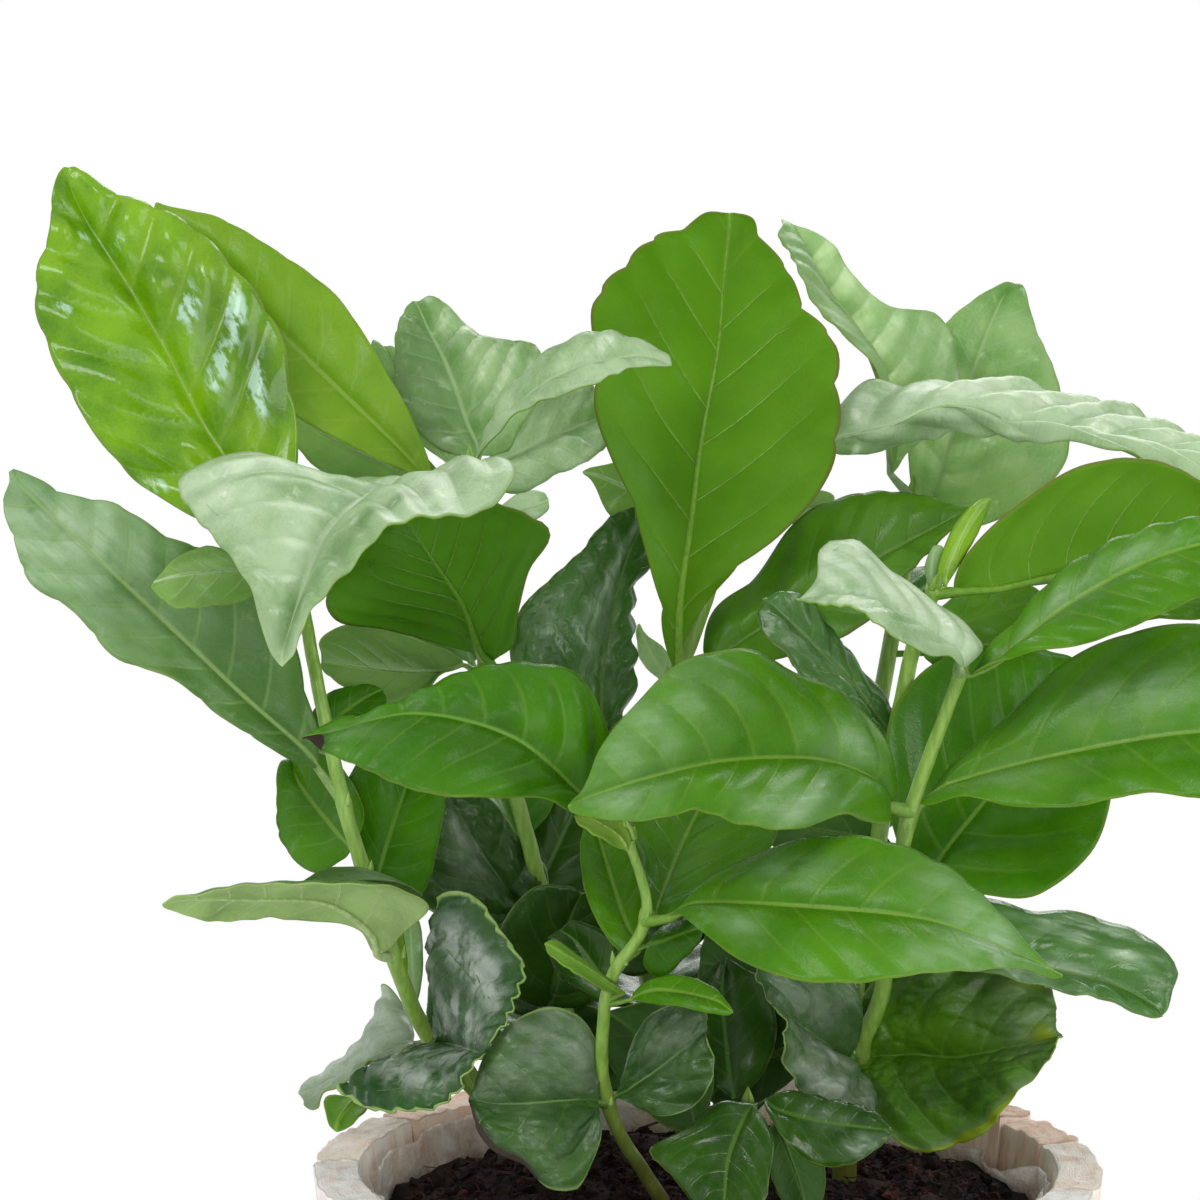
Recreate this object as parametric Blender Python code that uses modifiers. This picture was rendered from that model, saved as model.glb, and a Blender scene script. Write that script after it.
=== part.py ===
"""Potted coffee plant: eight coffee seedlings in a round pot of upright wooden staves.

Blender works in metres with +Z up. The front of the plant looks towards -Y, and the origin is
the middle of the pot's underside. Lengths below are in millimetres and angles in degrees.
"""

import math
from dataclasses import dataclass

import bmesh
import bpy
import numpy as np

MM = 0.001
GAP = 0.35

# Pot: staves lean outwards from the foot to the rim.
POT_HEIGHT = 125.0
RIM_RADIUS = 75.0
FOOT_RADIUS = 60.0
STAVE_THICKNESS = 9.0
STAVE_STARTS = (-16, 13, 28, 58, 88, 120, 150, 178, 210, 243, 275, 310)
STAVE_JOINT = 0.5
STAVE_EDGE = 1.2
BOARD_THICKNESS = 8.0

# Film cup and soil inside the staves.
FILM_THICKNESS = 0.5
FILM_TOP = 121.0
TURN_STEPS = 36
SOIL_CROWN = 117.0
SOIL_EDGE = 115.5
SOIL_LEVEL_RADIUS = 52.0

# Plant.
LEAF_THICKNESS = 0.7
STALK_WIDTH = 2.0
LEAF_ROWS = 10
LEAF_COLUMNS = 4

COLOURS = {
    "leaf_young": ((0.19, 0.37, 0.02), 0.25),
    "leaf_mid": ((0.06, 0.17, 0.01), 0.35),
    "leaf_dark": ((0.03, 0.07, 0.02), 0.3),
    "leaf_pale": ((0.25, 0.36, 0.17), 0.35),
    "stem_green": ((0.18, 0.32, 0.03), 0.5),
    "stave_wood": ((0.74, 0.53, 0.42), 0.75),
    "board_wood": ((0.45, 0.30, 0.20), 0.8),
    "liner_film": ((0.22, 0.17, 0.15), 0.35),
    "peat_soil": ((0.012, 0.010, 0.009), 0.95),
}

# Blade outlines as powers of the distance from the stalk and from the tip.
OUTLINES = {
    "elliptic": (0.80, 0.80),
    "pointed": (0.85, 1.15),
    "drawn": (0.70, 1.40),
    "spoon": (1.00, 0.80),
    "round": (0.50, 0.50),
}


@dataclass(frozen=True)
class Stem:
    """A stem through hand-picked points that bend it, thinning from foot to top."""

    name: str
    points: tuple
    foot_radius: float
    top_radius: float


@dataclass(frozen=True)
class Leaf:
    """One leaf: where it leaves its stem, where it points and how its blade is shaped.

    heading is the plan direction of the tip (0 front, 90 right, 180 back) and rise its slope.
    roll turns the blade's face towards the leaf's own right. arch lifts the middle of the
    midrib off the line from stalk to tip, sway moves it to the right and hook bends the tip
    down. fold raises each half from the midrib, cup lowers the edges and ruffle waves them.
    """

    name: str
    stem: str
    height: float
    heading: float
    rise: float
    length: float
    width: float
    roll: float = 0.0
    arch: float = 0.0
    sway: float = 0.0
    hook: float = 0.0
    fold: float = 8.0
    cup: float = 0.0
    twist: float = 0.0
    ruffle: float = 1.0
    waves: float = 3.0
    phase: float = 0.0
    stalk: float = 5.0
    outline: str = "elliptic"
    tone: str = "leaf_mid"


STEMS = (
    Stem(
        "left",
        ((-29, 18), (-52, 2, 148), (-59, -6, 166), (-68, -10, 196), (-75, 0, 226), (-77, 7, 239)),
        1.8,
        1.1,
    ),
    Stem(
        "inner",
        ((-22, 38), (-31, 30, 167), (-36, 25, 189), (-42, 21, 213), (-45, 22, 255)),
        1.8,
        1.2,
    ),
    Stem(
        "front",
        ((-8, -8), (-19, -22, 142), (-19, -30, 165), (-12, -32, 179), (-15, -36, 194)),
        1.5,
        1.0,
    ),
    Stem("right", ((27, 20), (29, 5, 145), (33, 0, 159), (37, -8, 192), (46, -14, 221)), 2.0, 1.2),
    Stem("slim", ((25, 38), (36, 27, 210), (43, 14, 233)), 2.0, 1.2),
    Stem("far", ((20, 55), (40, 60, 230), (42, 62, 245)), 2.0, 1.2),
    Stem("tall", ((-2, 50), (-19, 46, 190), (-5, 42, 213), (10, 46, 257)), 2.2, 1.3),
    Stem("small", ((7, -9), (7, -18, 140)), 1.5, 1.0),
)

LEAVES = (
    Leaf("left_crown_leaf", "left", 239, -119, 56, 88, 39, roll=-57, stalk=7, tone="leaf_young"),
    Leaf("left_long_leaf", "left", 196, -82, 46, 87, 28, roll=-75, sway=2, outline="spoon"),
    Leaf("left_mid_leaf", "left", 183, -155, 25, 37, 22, roll=-41, outline="round"),
    Leaf(
        "left_low_leaf", "left", 166, -43, 18, 60, 32,
        roll=15, arch=7, fold=10, outline="pointed",
    ),
    Leaf(
        "left_cotyledon_front", "left", 148, 39, -16, 26, 46,
        roll=60, fold=30, stalk=2, outline="round", tone="leaf_dark",
    ),
    Leaf(
        "left_cotyledon_back", "left", 148, -140, -8, 26, 30,
        roll=-45, stalk=2, outline="round", tone="leaf_dark",
    ),
    Leaf(
        "inner_crown_leaf_left", "inner", 250, -104, 42, 82, 26,
        roll=-66, sway=-6, tone="leaf_young",
    ),
    Leaf(
        "inner_crown_leaf_front", "inner", 252, -21, -15, 87, 62,
        roll=3, arch=14, sway=6, phase=0.5, outline="drawn", tone="leaf_pale",
    ),
    Leaf("inner_crown_leaf_back", "inner", 254, -172, 50, 42, 27, roll=-11, tone="leaf_pale"),
    Leaf(
        "inner_crown_leaf_right", "inner", 254, 67, 31, 42, 17,
        roll=53, arch=10, hook=3, tone="leaf_pale",
    ),
    Leaf("inner_crown_leaf_rear", "inner", 252, 156, 41, 40, 35, roll=10, tone="leaf_pale"),
    Leaf("inner_upper_leaf", "inner", 217, -27, 45, 45, 45, tone="leaf_dark"),
    Leaf(
        "inner_low_leaf", "inner", 167, -85, 52, 31, 22,
        roll=-80, stalk=6, outline="round", tone="leaf_dark",
    ),
    Leaf(
        "front_top_leaf", "front", 194, -76, 20, 62, 31,
        roll=-54, arch=8, sway=6, outline="pointed",
    ),
    Leaf("front_broad_leaf", "front", 178, 69, -5, 78, 35, roll=42, arch=8, outline="pointed"),
    Leaf(
        "front_mid_leaf_left", "front", 170, -150, 45, 33, 20,
        roll=-13, stalk=2, tone="leaf_dark",
    ),
    Leaf("front_mid_leaf_rear", "front", 180, 150, 22, 55, 34, tone="leaf_dark"),
    Leaf(
        "front_cotyledon_left", "front", 142, -62, 6, 24, 34,
        roll=-76, stalk=2, outline="round", tone="leaf_dark",
    ),
    Leaf(
        "front_cotyledon_right", "front", 142, 66, 38, 22, 20,
        roll=88, stalk=2, outline="round", tone="leaf_dark",
    ),
    Leaf(
        "right_mid_leaf_left", "right", 194, -49, 9, 83, 42,
        roll=-38, arch=9, sway=5, outline="drawn",
    ),
    Leaf("right_mid_leaf_right", "right", 191, 75, 11, 84, 36, roll=57, sway=-7),
    Leaf("right_mid_leaf_rear", "right", 171, 131, 45, 68, 43, roll=33),
    Leaf("right_low_leaf", "right", 165, 75, -6, 51, 22, roll=53, sway=-3, tone="leaf_dark"),
    Leaf(
        "right_cotyledon_right", "right", 145, 65, 5, 37, 38,
        roll=72, stalk=2, outline="round", tone="leaf_dark",
    ),
    Leaf(
        "right_cotyledon_left", "right", 145, -38, 12, 28, 30,
        roll=-75, stalk=2, outline="round", tone="leaf_dark",
    ),
    Leaf("right_top_leaf_left", "right", 221, -63, 23, 38, 28, roll=-25, arch=10, tone="leaf_pale"),
    Leaf("right_top_leaf_right", "right", 221, 83, 27, 59, 20, roll=52),
    Leaf("slim_top_leaf", "slim", 232, 95, 10, 61, 38, roll=-46, fold=42),
    Leaf("slim_mid_leaf", "slim", 205, -94, 42, 35, 18, roll=-48, tone="leaf_dark"),
    Leaf(
        "far_top_leaf_left", "far", 245, -107, 64, 62, 36,
        roll=-37, sway=3, fold=33, tone="leaf_pale",
    ),
    Leaf("far_top_leaf_right", "far", 235, 141, 55, 63, 34, roll=40),
    Leaf("tall_broad_leaf", "tall", 213, 24, 76, 94, 47, roll=-23, sway=-1.5),
    Leaf(
        "tall_narrow_leaf", "tall", 191, 141, 78, 54, 24,
        roll=64, sway=-8, stalk=8, tone="leaf_dark",
    ),
    Leaf(
        "tall_arching_leaf", "tall", 256, 84, -2, 94, 34,
        roll=22, arch=6, stalk=10, tone="leaf_pale",
    ),
    Leaf("tall_side_leaf", "tall", 212, 93, 31, 65, 34, roll=54),
    Leaf("small_leaf_front", "small", 139, -22, -20, 34, 24),
    Leaf("small_leaf_right", "small", 138, 52, -8, 33, 17, roll=39),
)


def stem_points(stem):
    """The stem's own points, the first raised until its slanting foot clears the soil."""
    first, second = stem.points[:2]
    lean = math.dist(first, second[:2]) / (second[2] - SOIL_CROWN)
    foot = SOIL_CROWN + GAP + stem.foot_radius * lean
    return np.array([(*first, foot), *stem.points[1:]], float)


def smooth_path(points, steps=4):
    """A Catmull-Rom curve through the points, with this many steps between two of them."""
    padded = np.vstack([2 * points[0] - points[1], points, 2 * points[-1] - points[-2]])
    path = []
    for a, b, c, d in zip(padded, padded[1:], padded[2:], padded[3:]):
        for t in np.arange(steps) / steps:
            bend = (-a + 3 * b - 3 * c + d) * t**3 + (2 * a - 5 * b + 4 * c - d) * t**2
            path.append(0.5 * (2 * b + (c - a) * t + bend))
    return np.array([*path, points[-1]])


def along_stem(stem, height):
    """(point, radius) of the stem at this height."""
    path = smooth_path(stem_points(stem))
    share = np.interp(height, path[:, 2], np.linspace(0, 1, len(path)))
    point = [np.interp(height, path[:, 2], path[:, axis]) for axis in range(3)]
    return np.array(point), stem.foot_radius + (stem.top_radius - stem.foot_radius) * share


def leaf_axes(leaf):
    """Unit vectors along the leaf, up from its face and to its right, before it rolls."""
    heading, rise = math.radians(leaf.heading), math.radians(leaf.rise)
    level = np.array([math.sin(heading), -math.cos(heading), 0.0])
    up = np.array([0.0, 0.0, 1.0])
    along = level * math.cos(rise) + up * math.sin(rise)
    face = up * math.cos(rise) - level * math.sin(rise)
    return along, face, np.cross(along, face)


def leaf_base(leaf):
    """Where the stalk starts, clear of the stem's surface."""
    stem = next(s for s in STEMS if s.name == leaf.stem)
    point, radius = along_stem(stem, leaf.height)
    along, _, _ = leaf_axes(leaf)
    level = along * (1, 1, 0)
    return point + level / np.linalg.norm(level) * (radius + GAP + STALK_WIDTH / 2)


def half_width(leaf, s):
    """Half of the leaf's width at s, from 0 at the stem to 1 at the tip."""
    near, far = OUTLINES[leaf.outline]
    q = np.clip((s - leaf.stalk / leaf.length) / (1 - leaf.stalk / leaf.length), 0, 1)
    peak = near / (near + far)
    blade = q**near * (1 - q) ** far / (peak**near * (1 - peak) ** far)
    return leaf.width / 2 * blade + STALK_WIDTH / 2 * (1 - 0.7 * s)


def leaf_sheet(leaf, s, v):
    """Points of the leaf's middle sheet, s along it and v across it from -1 to 1."""
    s, v = np.broadcast_arrays(np.asarray(s, float), np.asarray(v, float))
    along, face, right = leaf_axes(leaf)
    turn = np.radians(leaf.roll + leaf.twist * (s - 0.5))[..., None]
    up = face * np.cos(turn) + right * np.sin(turn)
    side = right * np.cos(turn) - face * np.sin(turn)
    half = half_width(leaf, s)
    blade = half / (leaf.width / 2)
    bow = 4 * s * (1 - s)
    tip = np.clip((s - 0.6) / 0.4, 0, 1) ** 2
    wave = np.sin(2 * np.pi * (leaf.waves * s + leaf.phase) + 1.3 * np.sign(v))
    fold = math.radians(leaf.fold)
    lift = leaf.arch * bow - leaf.hook * tip
    lift = lift + np.abs(v) * half * math.sin(fold) - leaf.cup * v**2 * blade
    lift = lift + leaf.ruffle * wave * v**2 * blade
    across = v * half * math.cos(fold) + leaf.sway * bow
    forward = along * (leaf.length * s)[..., None]
    return leaf_base(leaf) + forward + side * across[..., None] + up * lift[..., None]


def row_places(leaf, t):
    """s for an even run of rows t: one row ends the stalk and the rest share the blade."""
    first = 1 / LEAF_ROWS
    end_of_stalk = leaf.stalk / leaf.length
    blade = end_of_stalk + (1 - end_of_stalk) * (t - first) / (1 - first)
    return np.where(t <= first, end_of_stalk * t / first, blade)


def outer_radius(z):
    """Radius of the pot's outside at this height."""
    return FOOT_RADIUS + (RIM_RADIUS - FOOT_RADIUS) * z / POT_HEIGHT


def inner_radius(z):
    """Radius of the pot's inside at this height."""
    return outer_radius(z) - STAVE_THICKNESS


def material(name):
    """The named Principled material, made once."""
    if name in bpy.data.materials:
        return bpy.data.materials[name]
    colour, roughness = COLOURS[name]
    made = bpy.data.materials.new(name)
    made.use_nodes = True
    shader = made.node_tree.nodes["Principled BSDF"]
    shader.inputs["Base Color"].default_value = (*colour, 1)
    shader.inputs["Roughness"].default_value = roughness
    shader.inputs["Metallic"].default_value = 0
    made.diffuse_color = (*colour, 1)
    return made


def add_object(collection, name, data, material_name):
    """Links an object that holds this mesh or curve to the collection and gives it its material."""
    data.materials.append(material(material_name))
    made = bpy.data.objects.new(name, data)
    collection.objects.link(made)
    return made


def mesh_from(bm, name, smooth):
    """A mesh made from a bmesh, which is freed."""
    mesh = bpy.data.meshes.new(name)
    bm.to_mesh(mesh)
    bm.free()
    if smooth:
        mesh.shade_smooth()
    return mesh


def stave_section(radius, start, end, steps=4):
    """Corners of a stave's section: the outer arc one way and the inner arc back."""
    trim = math.degrees(STAVE_JOINT / 2 / radius)
    angles = np.radians(np.linspace(start + trim, end - trim, steps + 1))
    outer = [(radius * math.cos(a), radius * math.sin(a)) for a in angles]
    reach = radius - STAVE_THICKNESS
    inner = [(reach * math.cos(a), reach * math.sin(a)) for a in angles[::-1]]
    return outer + inner


def add_stave(collection, index, start, end):
    """One upright stave: its foot section drawn up to the wider section at the rim."""
    bm = bmesh.new()
    foot = [bm.verts.new((x * MM, y * MM, 0)) for x, y in stave_section(FOOT_RADIUS, start, end)]
    sole = bm.faces.new(foot)
    drawn = bmesh.ops.extrude_face_region(bm, geom=[sole])
    top = [item for item in drawn["geom"] if isinstance(item, bmesh.types.BMVert)]
    rim = stave_section(RIM_RADIUS, start, end)
    for vertex in top:
        below = min(range(len(foot)), key=lambda i: (foot[i].co - vertex.co).length)
        vertex.co = (rim[below][0] * MM, rim[below][1] * MM, POT_HEIGHT * MM)
    bmesh.ops.recalc_face_normals(bm, faces=bm.faces)
    made = add_object(collection, f"stave_{index:02d}", mesh_from(bm, "stave", False), "stave_wood")
    edges = made.modifiers.new("eased_edges", "BEVEL")
    edges.width = STAVE_EDGE * MM
    edges.segments = 1
    edges.limit_method = "ANGLE"
    edges.angle_limit = math.radians(40)


def add_board(collection):
    """The round board that closes the pot's foot, flush with the staves' feet."""
    clearance = GAP + 0.3
    bm = bmesh.new()
    bmesh.ops.create_cone(
        bm,
        cap_ends=True,
        segments=48,
        radius1=(inner_radius(0) - clearance) * MM,
        radius2=(inner_radius(BOARD_THICKNESS) - clearance) * MM,
        depth=BOARD_THICKNESS * MM,
    )
    bmesh.ops.translate(bm, verts=bm.verts, vec=(0, 0, BOARD_THICKNESS / 2 * MM))
    add_object(collection, "foot_board", mesh_from(bm, "foot_board", False), "board_wood")


def turned(collection, name, profile, material_name):
    """A shape turned about Z from (radius, height) points that run down its outer side."""
    bm = bmesh.new()
    points = [bm.verts.new((radius * MM, 0, height * MM)) for radius, height in profile]
    for upper, lower in zip(points, points[1:]):
        bm.edges.new((upper, lower))
    made = add_object(collection, name, mesh_from(bm, name, False), material_name)
    turn = made.modifiers.new("turn", "SCREW")
    turn.steps = TURN_STEPS
    turn.render_steps = TURN_STEPS
    turn.use_merge_vertices = True
    turn.merge_threshold = 0.00001
    return made


def add_liner(collection):
    """The film cup between the staves and the soil, open at the top."""
    floor = BOARD_THICKNESS + GAP
    clearance = GAP + 0.5
    profile = (
        (inner_radius(FILM_TOP) - clearance, FILM_TOP),
        (inner_radius(floor) - clearance, floor),
        (0, floor),
    )
    made = turned(collection, "liner", profile, "liner_film")
    film = made.modifiers.new("film", "SOLIDIFY")
    film.thickness = FILM_THICKNESS * MM
    film.offset = -1


def add_soil(collection):
    """The soil as one block that fills the film cup to just under the rim."""
    floor = BOARD_THICKNESS + 2 * GAP + FILM_THICKNESS
    clearance = 2 * GAP + 0.9 + FILM_THICKNESS
    profile = (
        (0, SOIL_CROWN),
        (SOIL_LEVEL_RADIUS, SOIL_CROWN),
        (inner_radius(SOIL_EDGE) - clearance, SOIL_EDGE),
        (inner_radius(floor) - clearance, floor),
        (0, floor),
    )
    turned(collection, "soil", profile, "peat_soil")


def add_stem(collection, stem):
    """A round stem that bends through its points and thins towards its top."""
    curve = bpy.data.curves.new(f"{stem.name}_stem", "CURVE")
    curve.dimensions = "3D"
    curve.bevel_depth = MM
    curve.bevel_resolution = 2
    curve.use_fill_caps = True
    path = smooth_path(stem_points(stem))
    spline = curve.splines.new("POLY")
    spline.points.add(len(path) - 1)
    for index, (point, place) in enumerate(zip(spline.points, path)):
        share = index / (len(path) - 1)
        point.co = (*(place * MM), 1)
        point.radius = stem.foot_radius + (stem.top_radius - stem.foot_radius) * share
    add_object(collection, f"{stem.name}_stem", curve, "stem_green")


def add_leaf(collection, leaf):
    """A leaf: a flat grid shaped into the leaf's sheet and given its thickness."""
    bm = bmesh.new()
    bmesh.ops.create_grid(bm, x_segments=LEAF_ROWS, y_segments=LEAF_COLUMNS, size=1)
    flat = np.array([vertex.co for vertex in bm.verts])
    rows = row_places(leaf, (flat[:, 0] + 1) / 2)
    for vertex, place in zip(bm.verts, leaf_sheet(leaf, rows, -flat[:, 1])):
        vertex.co = place * MM
    made = add_object(collection, leaf.name, mesh_from(bm, leaf.name, True), leaf.tone)
    blade = made.modifiers.new("blade", "SOLIDIFY")
    blade.thickness = LEAF_THICKNESS * MM
    blade.offset = 0


def main():
    """Clears the scene and builds the pot, its filling and the plants."""
    for old in list(bpy.data.objects):
        bpy.data.objects.remove(old)
    collection = bpy.data.collections.new("potted_coffee_plant")
    bpy.context.scene.collection.children.link(collection)
    ends = (*STAVE_STARTS[1:], STAVE_STARTS[0] + 360)
    for index, (start, end) in enumerate(zip(STAVE_STARTS, ends), 1):
        add_stave(collection, index, start, end)
    add_board(collection)
    add_liner(collection)
    add_soil(collection)
    for stem in STEMS:
        add_stem(collection, stem)
    for leaf in LEAVES:
        add_leaf(collection, leaf)


if __name__ == "__main__":
    main()
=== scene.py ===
"""Looks of a potted coffee plant: veined leaves, stems, wooden pot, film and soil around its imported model.

The classes hold lengths in millimetres and angles in degrees, and the meshes are made in metres.
Heading 0 is the front of the plant (-Y), 90 its right (+X) and 180 its back.
"""

import logging
import math
from collections.abc import Sequence
from dataclasses import dataclass
from enum import Enum

import bmesh
import bpy
import numpy as np
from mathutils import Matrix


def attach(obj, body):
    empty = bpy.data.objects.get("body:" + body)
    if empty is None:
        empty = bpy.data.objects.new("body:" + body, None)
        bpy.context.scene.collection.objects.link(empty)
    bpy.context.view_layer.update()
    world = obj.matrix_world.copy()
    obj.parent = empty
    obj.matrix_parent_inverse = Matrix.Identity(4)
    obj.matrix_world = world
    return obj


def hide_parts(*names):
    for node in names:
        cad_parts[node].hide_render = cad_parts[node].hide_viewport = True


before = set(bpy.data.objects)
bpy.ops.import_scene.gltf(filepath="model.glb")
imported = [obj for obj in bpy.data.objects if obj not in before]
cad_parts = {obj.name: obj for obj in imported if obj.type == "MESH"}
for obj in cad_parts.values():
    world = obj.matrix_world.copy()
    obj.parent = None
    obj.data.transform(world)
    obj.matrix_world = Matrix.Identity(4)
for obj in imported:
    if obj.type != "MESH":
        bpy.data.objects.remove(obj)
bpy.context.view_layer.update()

LOG = logging.getLogger("coffee_plant")
MM = 0.001

Colour = tuple[float, float, float]
Row = tuple[float, ...]
Values = dict[str | int, object]
Tube = tuple[np.ndarray, np.ndarray]
Material = bpy.types.Material
Mesh = bpy.types.Mesh
Node = bpy.types.Node
Socket = bpy.types.NodeSocket


# ---------------------------------------------------------------------------------------------
# Node trees
# ---------------------------------------------------------------------------------------------


class NodeGraph:
    """Adds nodes to one tree and links them as it goes."""

    def __init__(self, tree: bpy.types.NodeTree) -> None:
        """Keeps the tree.

        Args:
            tree: the material's, world's or geometry's node tree.
        """
        self.tree = tree

    def add(self, kind: str, inputs: Values | None = None, **settings: object) -> Node:
        """Adds one node.

        Args:
            kind: the node's type.
            inputs: values or sockets, by the input's name or number.
            settings: the node's own properties.

        Returns:
            The node.
        """
        node = self.tree.nodes.new(kind)
        for name, value in settings.items():
            setattr(node, name, value)
        for key, value in (inputs or {}).items():
            self.feed(node.inputs[key], value)
        return node

    def feed(self, socket: Socket, value: object) -> None:
        """Links a socket to another, or sets its value.

        Args:
            socket: the input.
            value: a node's output, a number, a vector or a material.
        """
        if isinstance(value, Socket):
            self.tree.links.new(value, socket)
        elif value is not None:
            socket.default_value = value

    def math(self, operation: str, *terms: object) -> Socket:
        """One sum on one, two or three numbers, by the Math node's operation."""
        return self.add("ShaderNodeMath", dict(enumerate(terms)), operation=operation).outputs[0]

    def times(self, first: object, *factors: object) -> Socket:
        """The product of numbers.

        Args:
            first: the first number.
            factors: the others.

        Returns:
            The product.
        """
        for factor in factors:
            first = self.math("MULTIPLY", first, factor)
        return first

    def plus(self, a: object, b: object) -> Socket:
        """The sum of two numbers."""
        return self.math("ADD", a, b)

    def vector(self, operation: str, *terms: object) -> Socket:
        """One sum on vectors, by the Vector Math node's operation."""
        return self.add("ShaderNodeVectorMath", dict(enumerate(terms)), operation=operation).outputs[0]

    def scaled(self, vector: object, factor: object) -> Socket:
        """A vector times a number."""
        return self.add("ShaderNodeVectorMath", {0: vector, "Scale": factor}, operation="SCALE").outputs[0]

    def split(self, vector: object) -> tuple[Socket, ...]:
        """A vector's x, y and z."""
        return tuple(self.add("ShaderNodeSeparateXYZ", {0: vector}).outputs)

    def cracks(self, vector: object, scale: object) -> Socket:
        """The distance from the borders between random cells."""
        inputs = {"Vector": vector, "Scale": scale}
        return self.add("ShaderNodeTexVoronoi", inputs, feature="DISTANCE_TO_EDGE").outputs["Distance"]

    def blend(self, share: object, first: Node, second: Node) -> Node:
        """Mixes two shaders, by the share of the second."""
        return self.add("ShaderNodeMixShader", {0: share, 1: first.outputs[0], 2: second.outputs[0]})

    def slope(
        self, value: object, low: float, high: float, start: float = 0.0, end: float = 1.0
    ) -> Socket:
        """Maps a range smoothly to another.

        Args:
            value: the number to map.
            low: where the change starts.
            high: where it ends; it may be below low.
            start: the result at low.
            end: the result at high.

        Returns:
            The mapped number, held between start and end.
        """
        if low > high:
            low, high, start, end = high, low, end, start
        inputs = {"Value": value, "From Min": low, "From Max": high, "To Min": start, "To Max": end}
        return self.add("ShaderNodeMapRange", inputs, interpolation_type="SMOOTHSTEP").outputs[0]


class Shader(NodeGraph):
    """A material under construction."""

    def __init__(self, name: str) -> None:
        """Makes an empty material.

        Args:
            name: the material's name.
        """
        self.material = bpy.data.materials.new(name)
        self.material.use_nodes = True
        super().__init__(self.material.node_tree)
        self.tree.nodes.clear()

    def mix(self, factor: object, a: object, b: object, mode: str = "MIX") -> Socket:
        """Mixes two colours, by the share of the second."""
        inputs = {0: factor, 6: rgba(a), 7: rgba(b)}
        return self.add("ShaderNodeMix", inputs, data_type="RGBA", blend_type=mode).outputs[2]

    def noise(self, vector: object, scale: float, detail: float = 3.0, rough: float = 0.55) -> Socket:
        """A noise's level at a vector, from 0 to 1; detail counts its octaves."""
        inputs = {"Vector": vector, "Scale": scale, "Detail": detail, "Roughness": rough}
        return self.add("ShaderNodeTexNoise", inputs).outputs["Fac"]

    def uv(self, name: str) -> Socket:
        """The named UV map's coordinates."""
        return self.add("ShaderNodeUVMap", uv_map=name).outputs[0]

    def place(self) -> Socket:
        """The place on the object, in metres."""
        return self.add("ShaderNodeTexCoord").outputs["Object"]

    def stretch(self, vector: object, scale: Colour, shift: Colour = (0, 0, 0)) -> Socket:
        """A vector scaled on each axis and then shifted."""
        return self.vector("MULTIPLY_ADD", vector, scale, shift)

    def bump(self, height: object, depth: float, strength: float = 1.0) -> Socket:
        """A bumped normal, where a height of 1 stands for a depth in metres."""
        inputs = {"Height": height, "Distance": depth, "Strength": strength}
        return self.add("ShaderNodeBump", inputs).outputs[0]

    def body(self, colour: object, rough: object, normal: Socket, **more: object) -> Node:
        """A solid surface.

        Args:
            colour: its colour.
            rough: its roughness.
            normal: its bumped normal.
            more: the Principled BSDF's other inputs, with spaces written as underscores.

        Returns:
            The shader.
        """
        inputs = {"Base Color": rgba(colour), "Roughness": rough, "Normal": normal}
        inputs |= {name.replace("_", " "): value for name, value in more.items()}
        return self.add("ShaderNodeBsdfPrincipled", inputs)

    def close(self, surface: Node) -> Material:
        """Sends the last shader to the output and gives the finished material."""
        self.add("ShaderNodeOutputMaterial", {0: surface.outputs[0]})
        return self.material


class GeometryTree(NodeGraph):
    """A Geometry Nodes tree with named inputs that ends in realised, dressed geometry."""

    def __init__(self, name: str) -> None:
        """Makes the tree with its geometry input.

        Args:
            name: the tree's name.
        """
        super().__init__(bpy.data.node_groups.new(name, "GeometryNodeTree"))
        for way in ("OUTPUT", "INPUT"):
            self.tree.interface.new_socket("Geometry", in_out=way, socket_type="NodeSocketGeometry")
        self.entry = self.tree.nodes.new("NodeGroupInput")

    def size(self, name: str, kind: str = "NodeSocketFloat") -> Socket:
        """Adds a named input and gives the socket inside the tree that holds its value."""
        self.tree.interface.new_socket(name, in_out="INPUT", socket_type=kind)
        return self.entry.outputs[name]

    def close(self, geometry: Socket) -> None:
        """Realises the geometry, gives it the material input and sends it out.

        Args:
            geometry: the finished geometry.
        """
        real = self.add("GeometryNodeRealizeInstances", {0: geometry})
        inputs = {"Geometry": real.outputs[0], "Material": self.size("Material", "NodeSocketMaterial")}
        dressed = self.add("GeometryNodeSetMaterial", inputs)
        self.add("NodeGroupOutput", {0: dressed.outputs[0]})

    def run(self, mesh: Mesh, **values: object) -> Mesh:
        """Runs the tree on a mesh.

        Args:
            mesh: what goes in.
            values: the named inputs, with spaces written as underscores.

        Returns:
            The plain mesh that comes out.
        """
        host = placed(self.tree.name, mesh)
        modifier = host.modifiers.new(self.tree.name, "NODES")
        modifier.node_group = self.tree
        for item in self.tree.interface.items_tree:
            name = item.name.replace(" ", "_")
            if item.in_out == "INPUT" and name in values:
                modifier[item.identifier] = values[name]
        return settle(host)


# ---------------------------------------------------------------------------------------------
# Meshes
# ---------------------------------------------------------------------------------------------


def rgba(colour: object) -> object:
    """A colour with its alpha, or the socket as it is."""
    return (*colour, 1.0) if isinstance(colour, tuple) else colour


def toned(colour: Colour, factor: float) -> Colour:
    """A colour made darker or lighter."""
    return tuple(min(1.0, factor * level) for level in colour)


def placed(name: str, data: bpy.types.ID) -> bpy.types.Object:
    """Puts a mesh, a lamp or a camera in the scene as a new object.

    Args:
        name: the object's name.
        data: what it holds.

    Returns:
        The object, at the origin.
    """
    thing = bpy.data.objects.new(name, data)
    bpy.context.scene.collection.objects.link(thing)
    return thing


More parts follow.
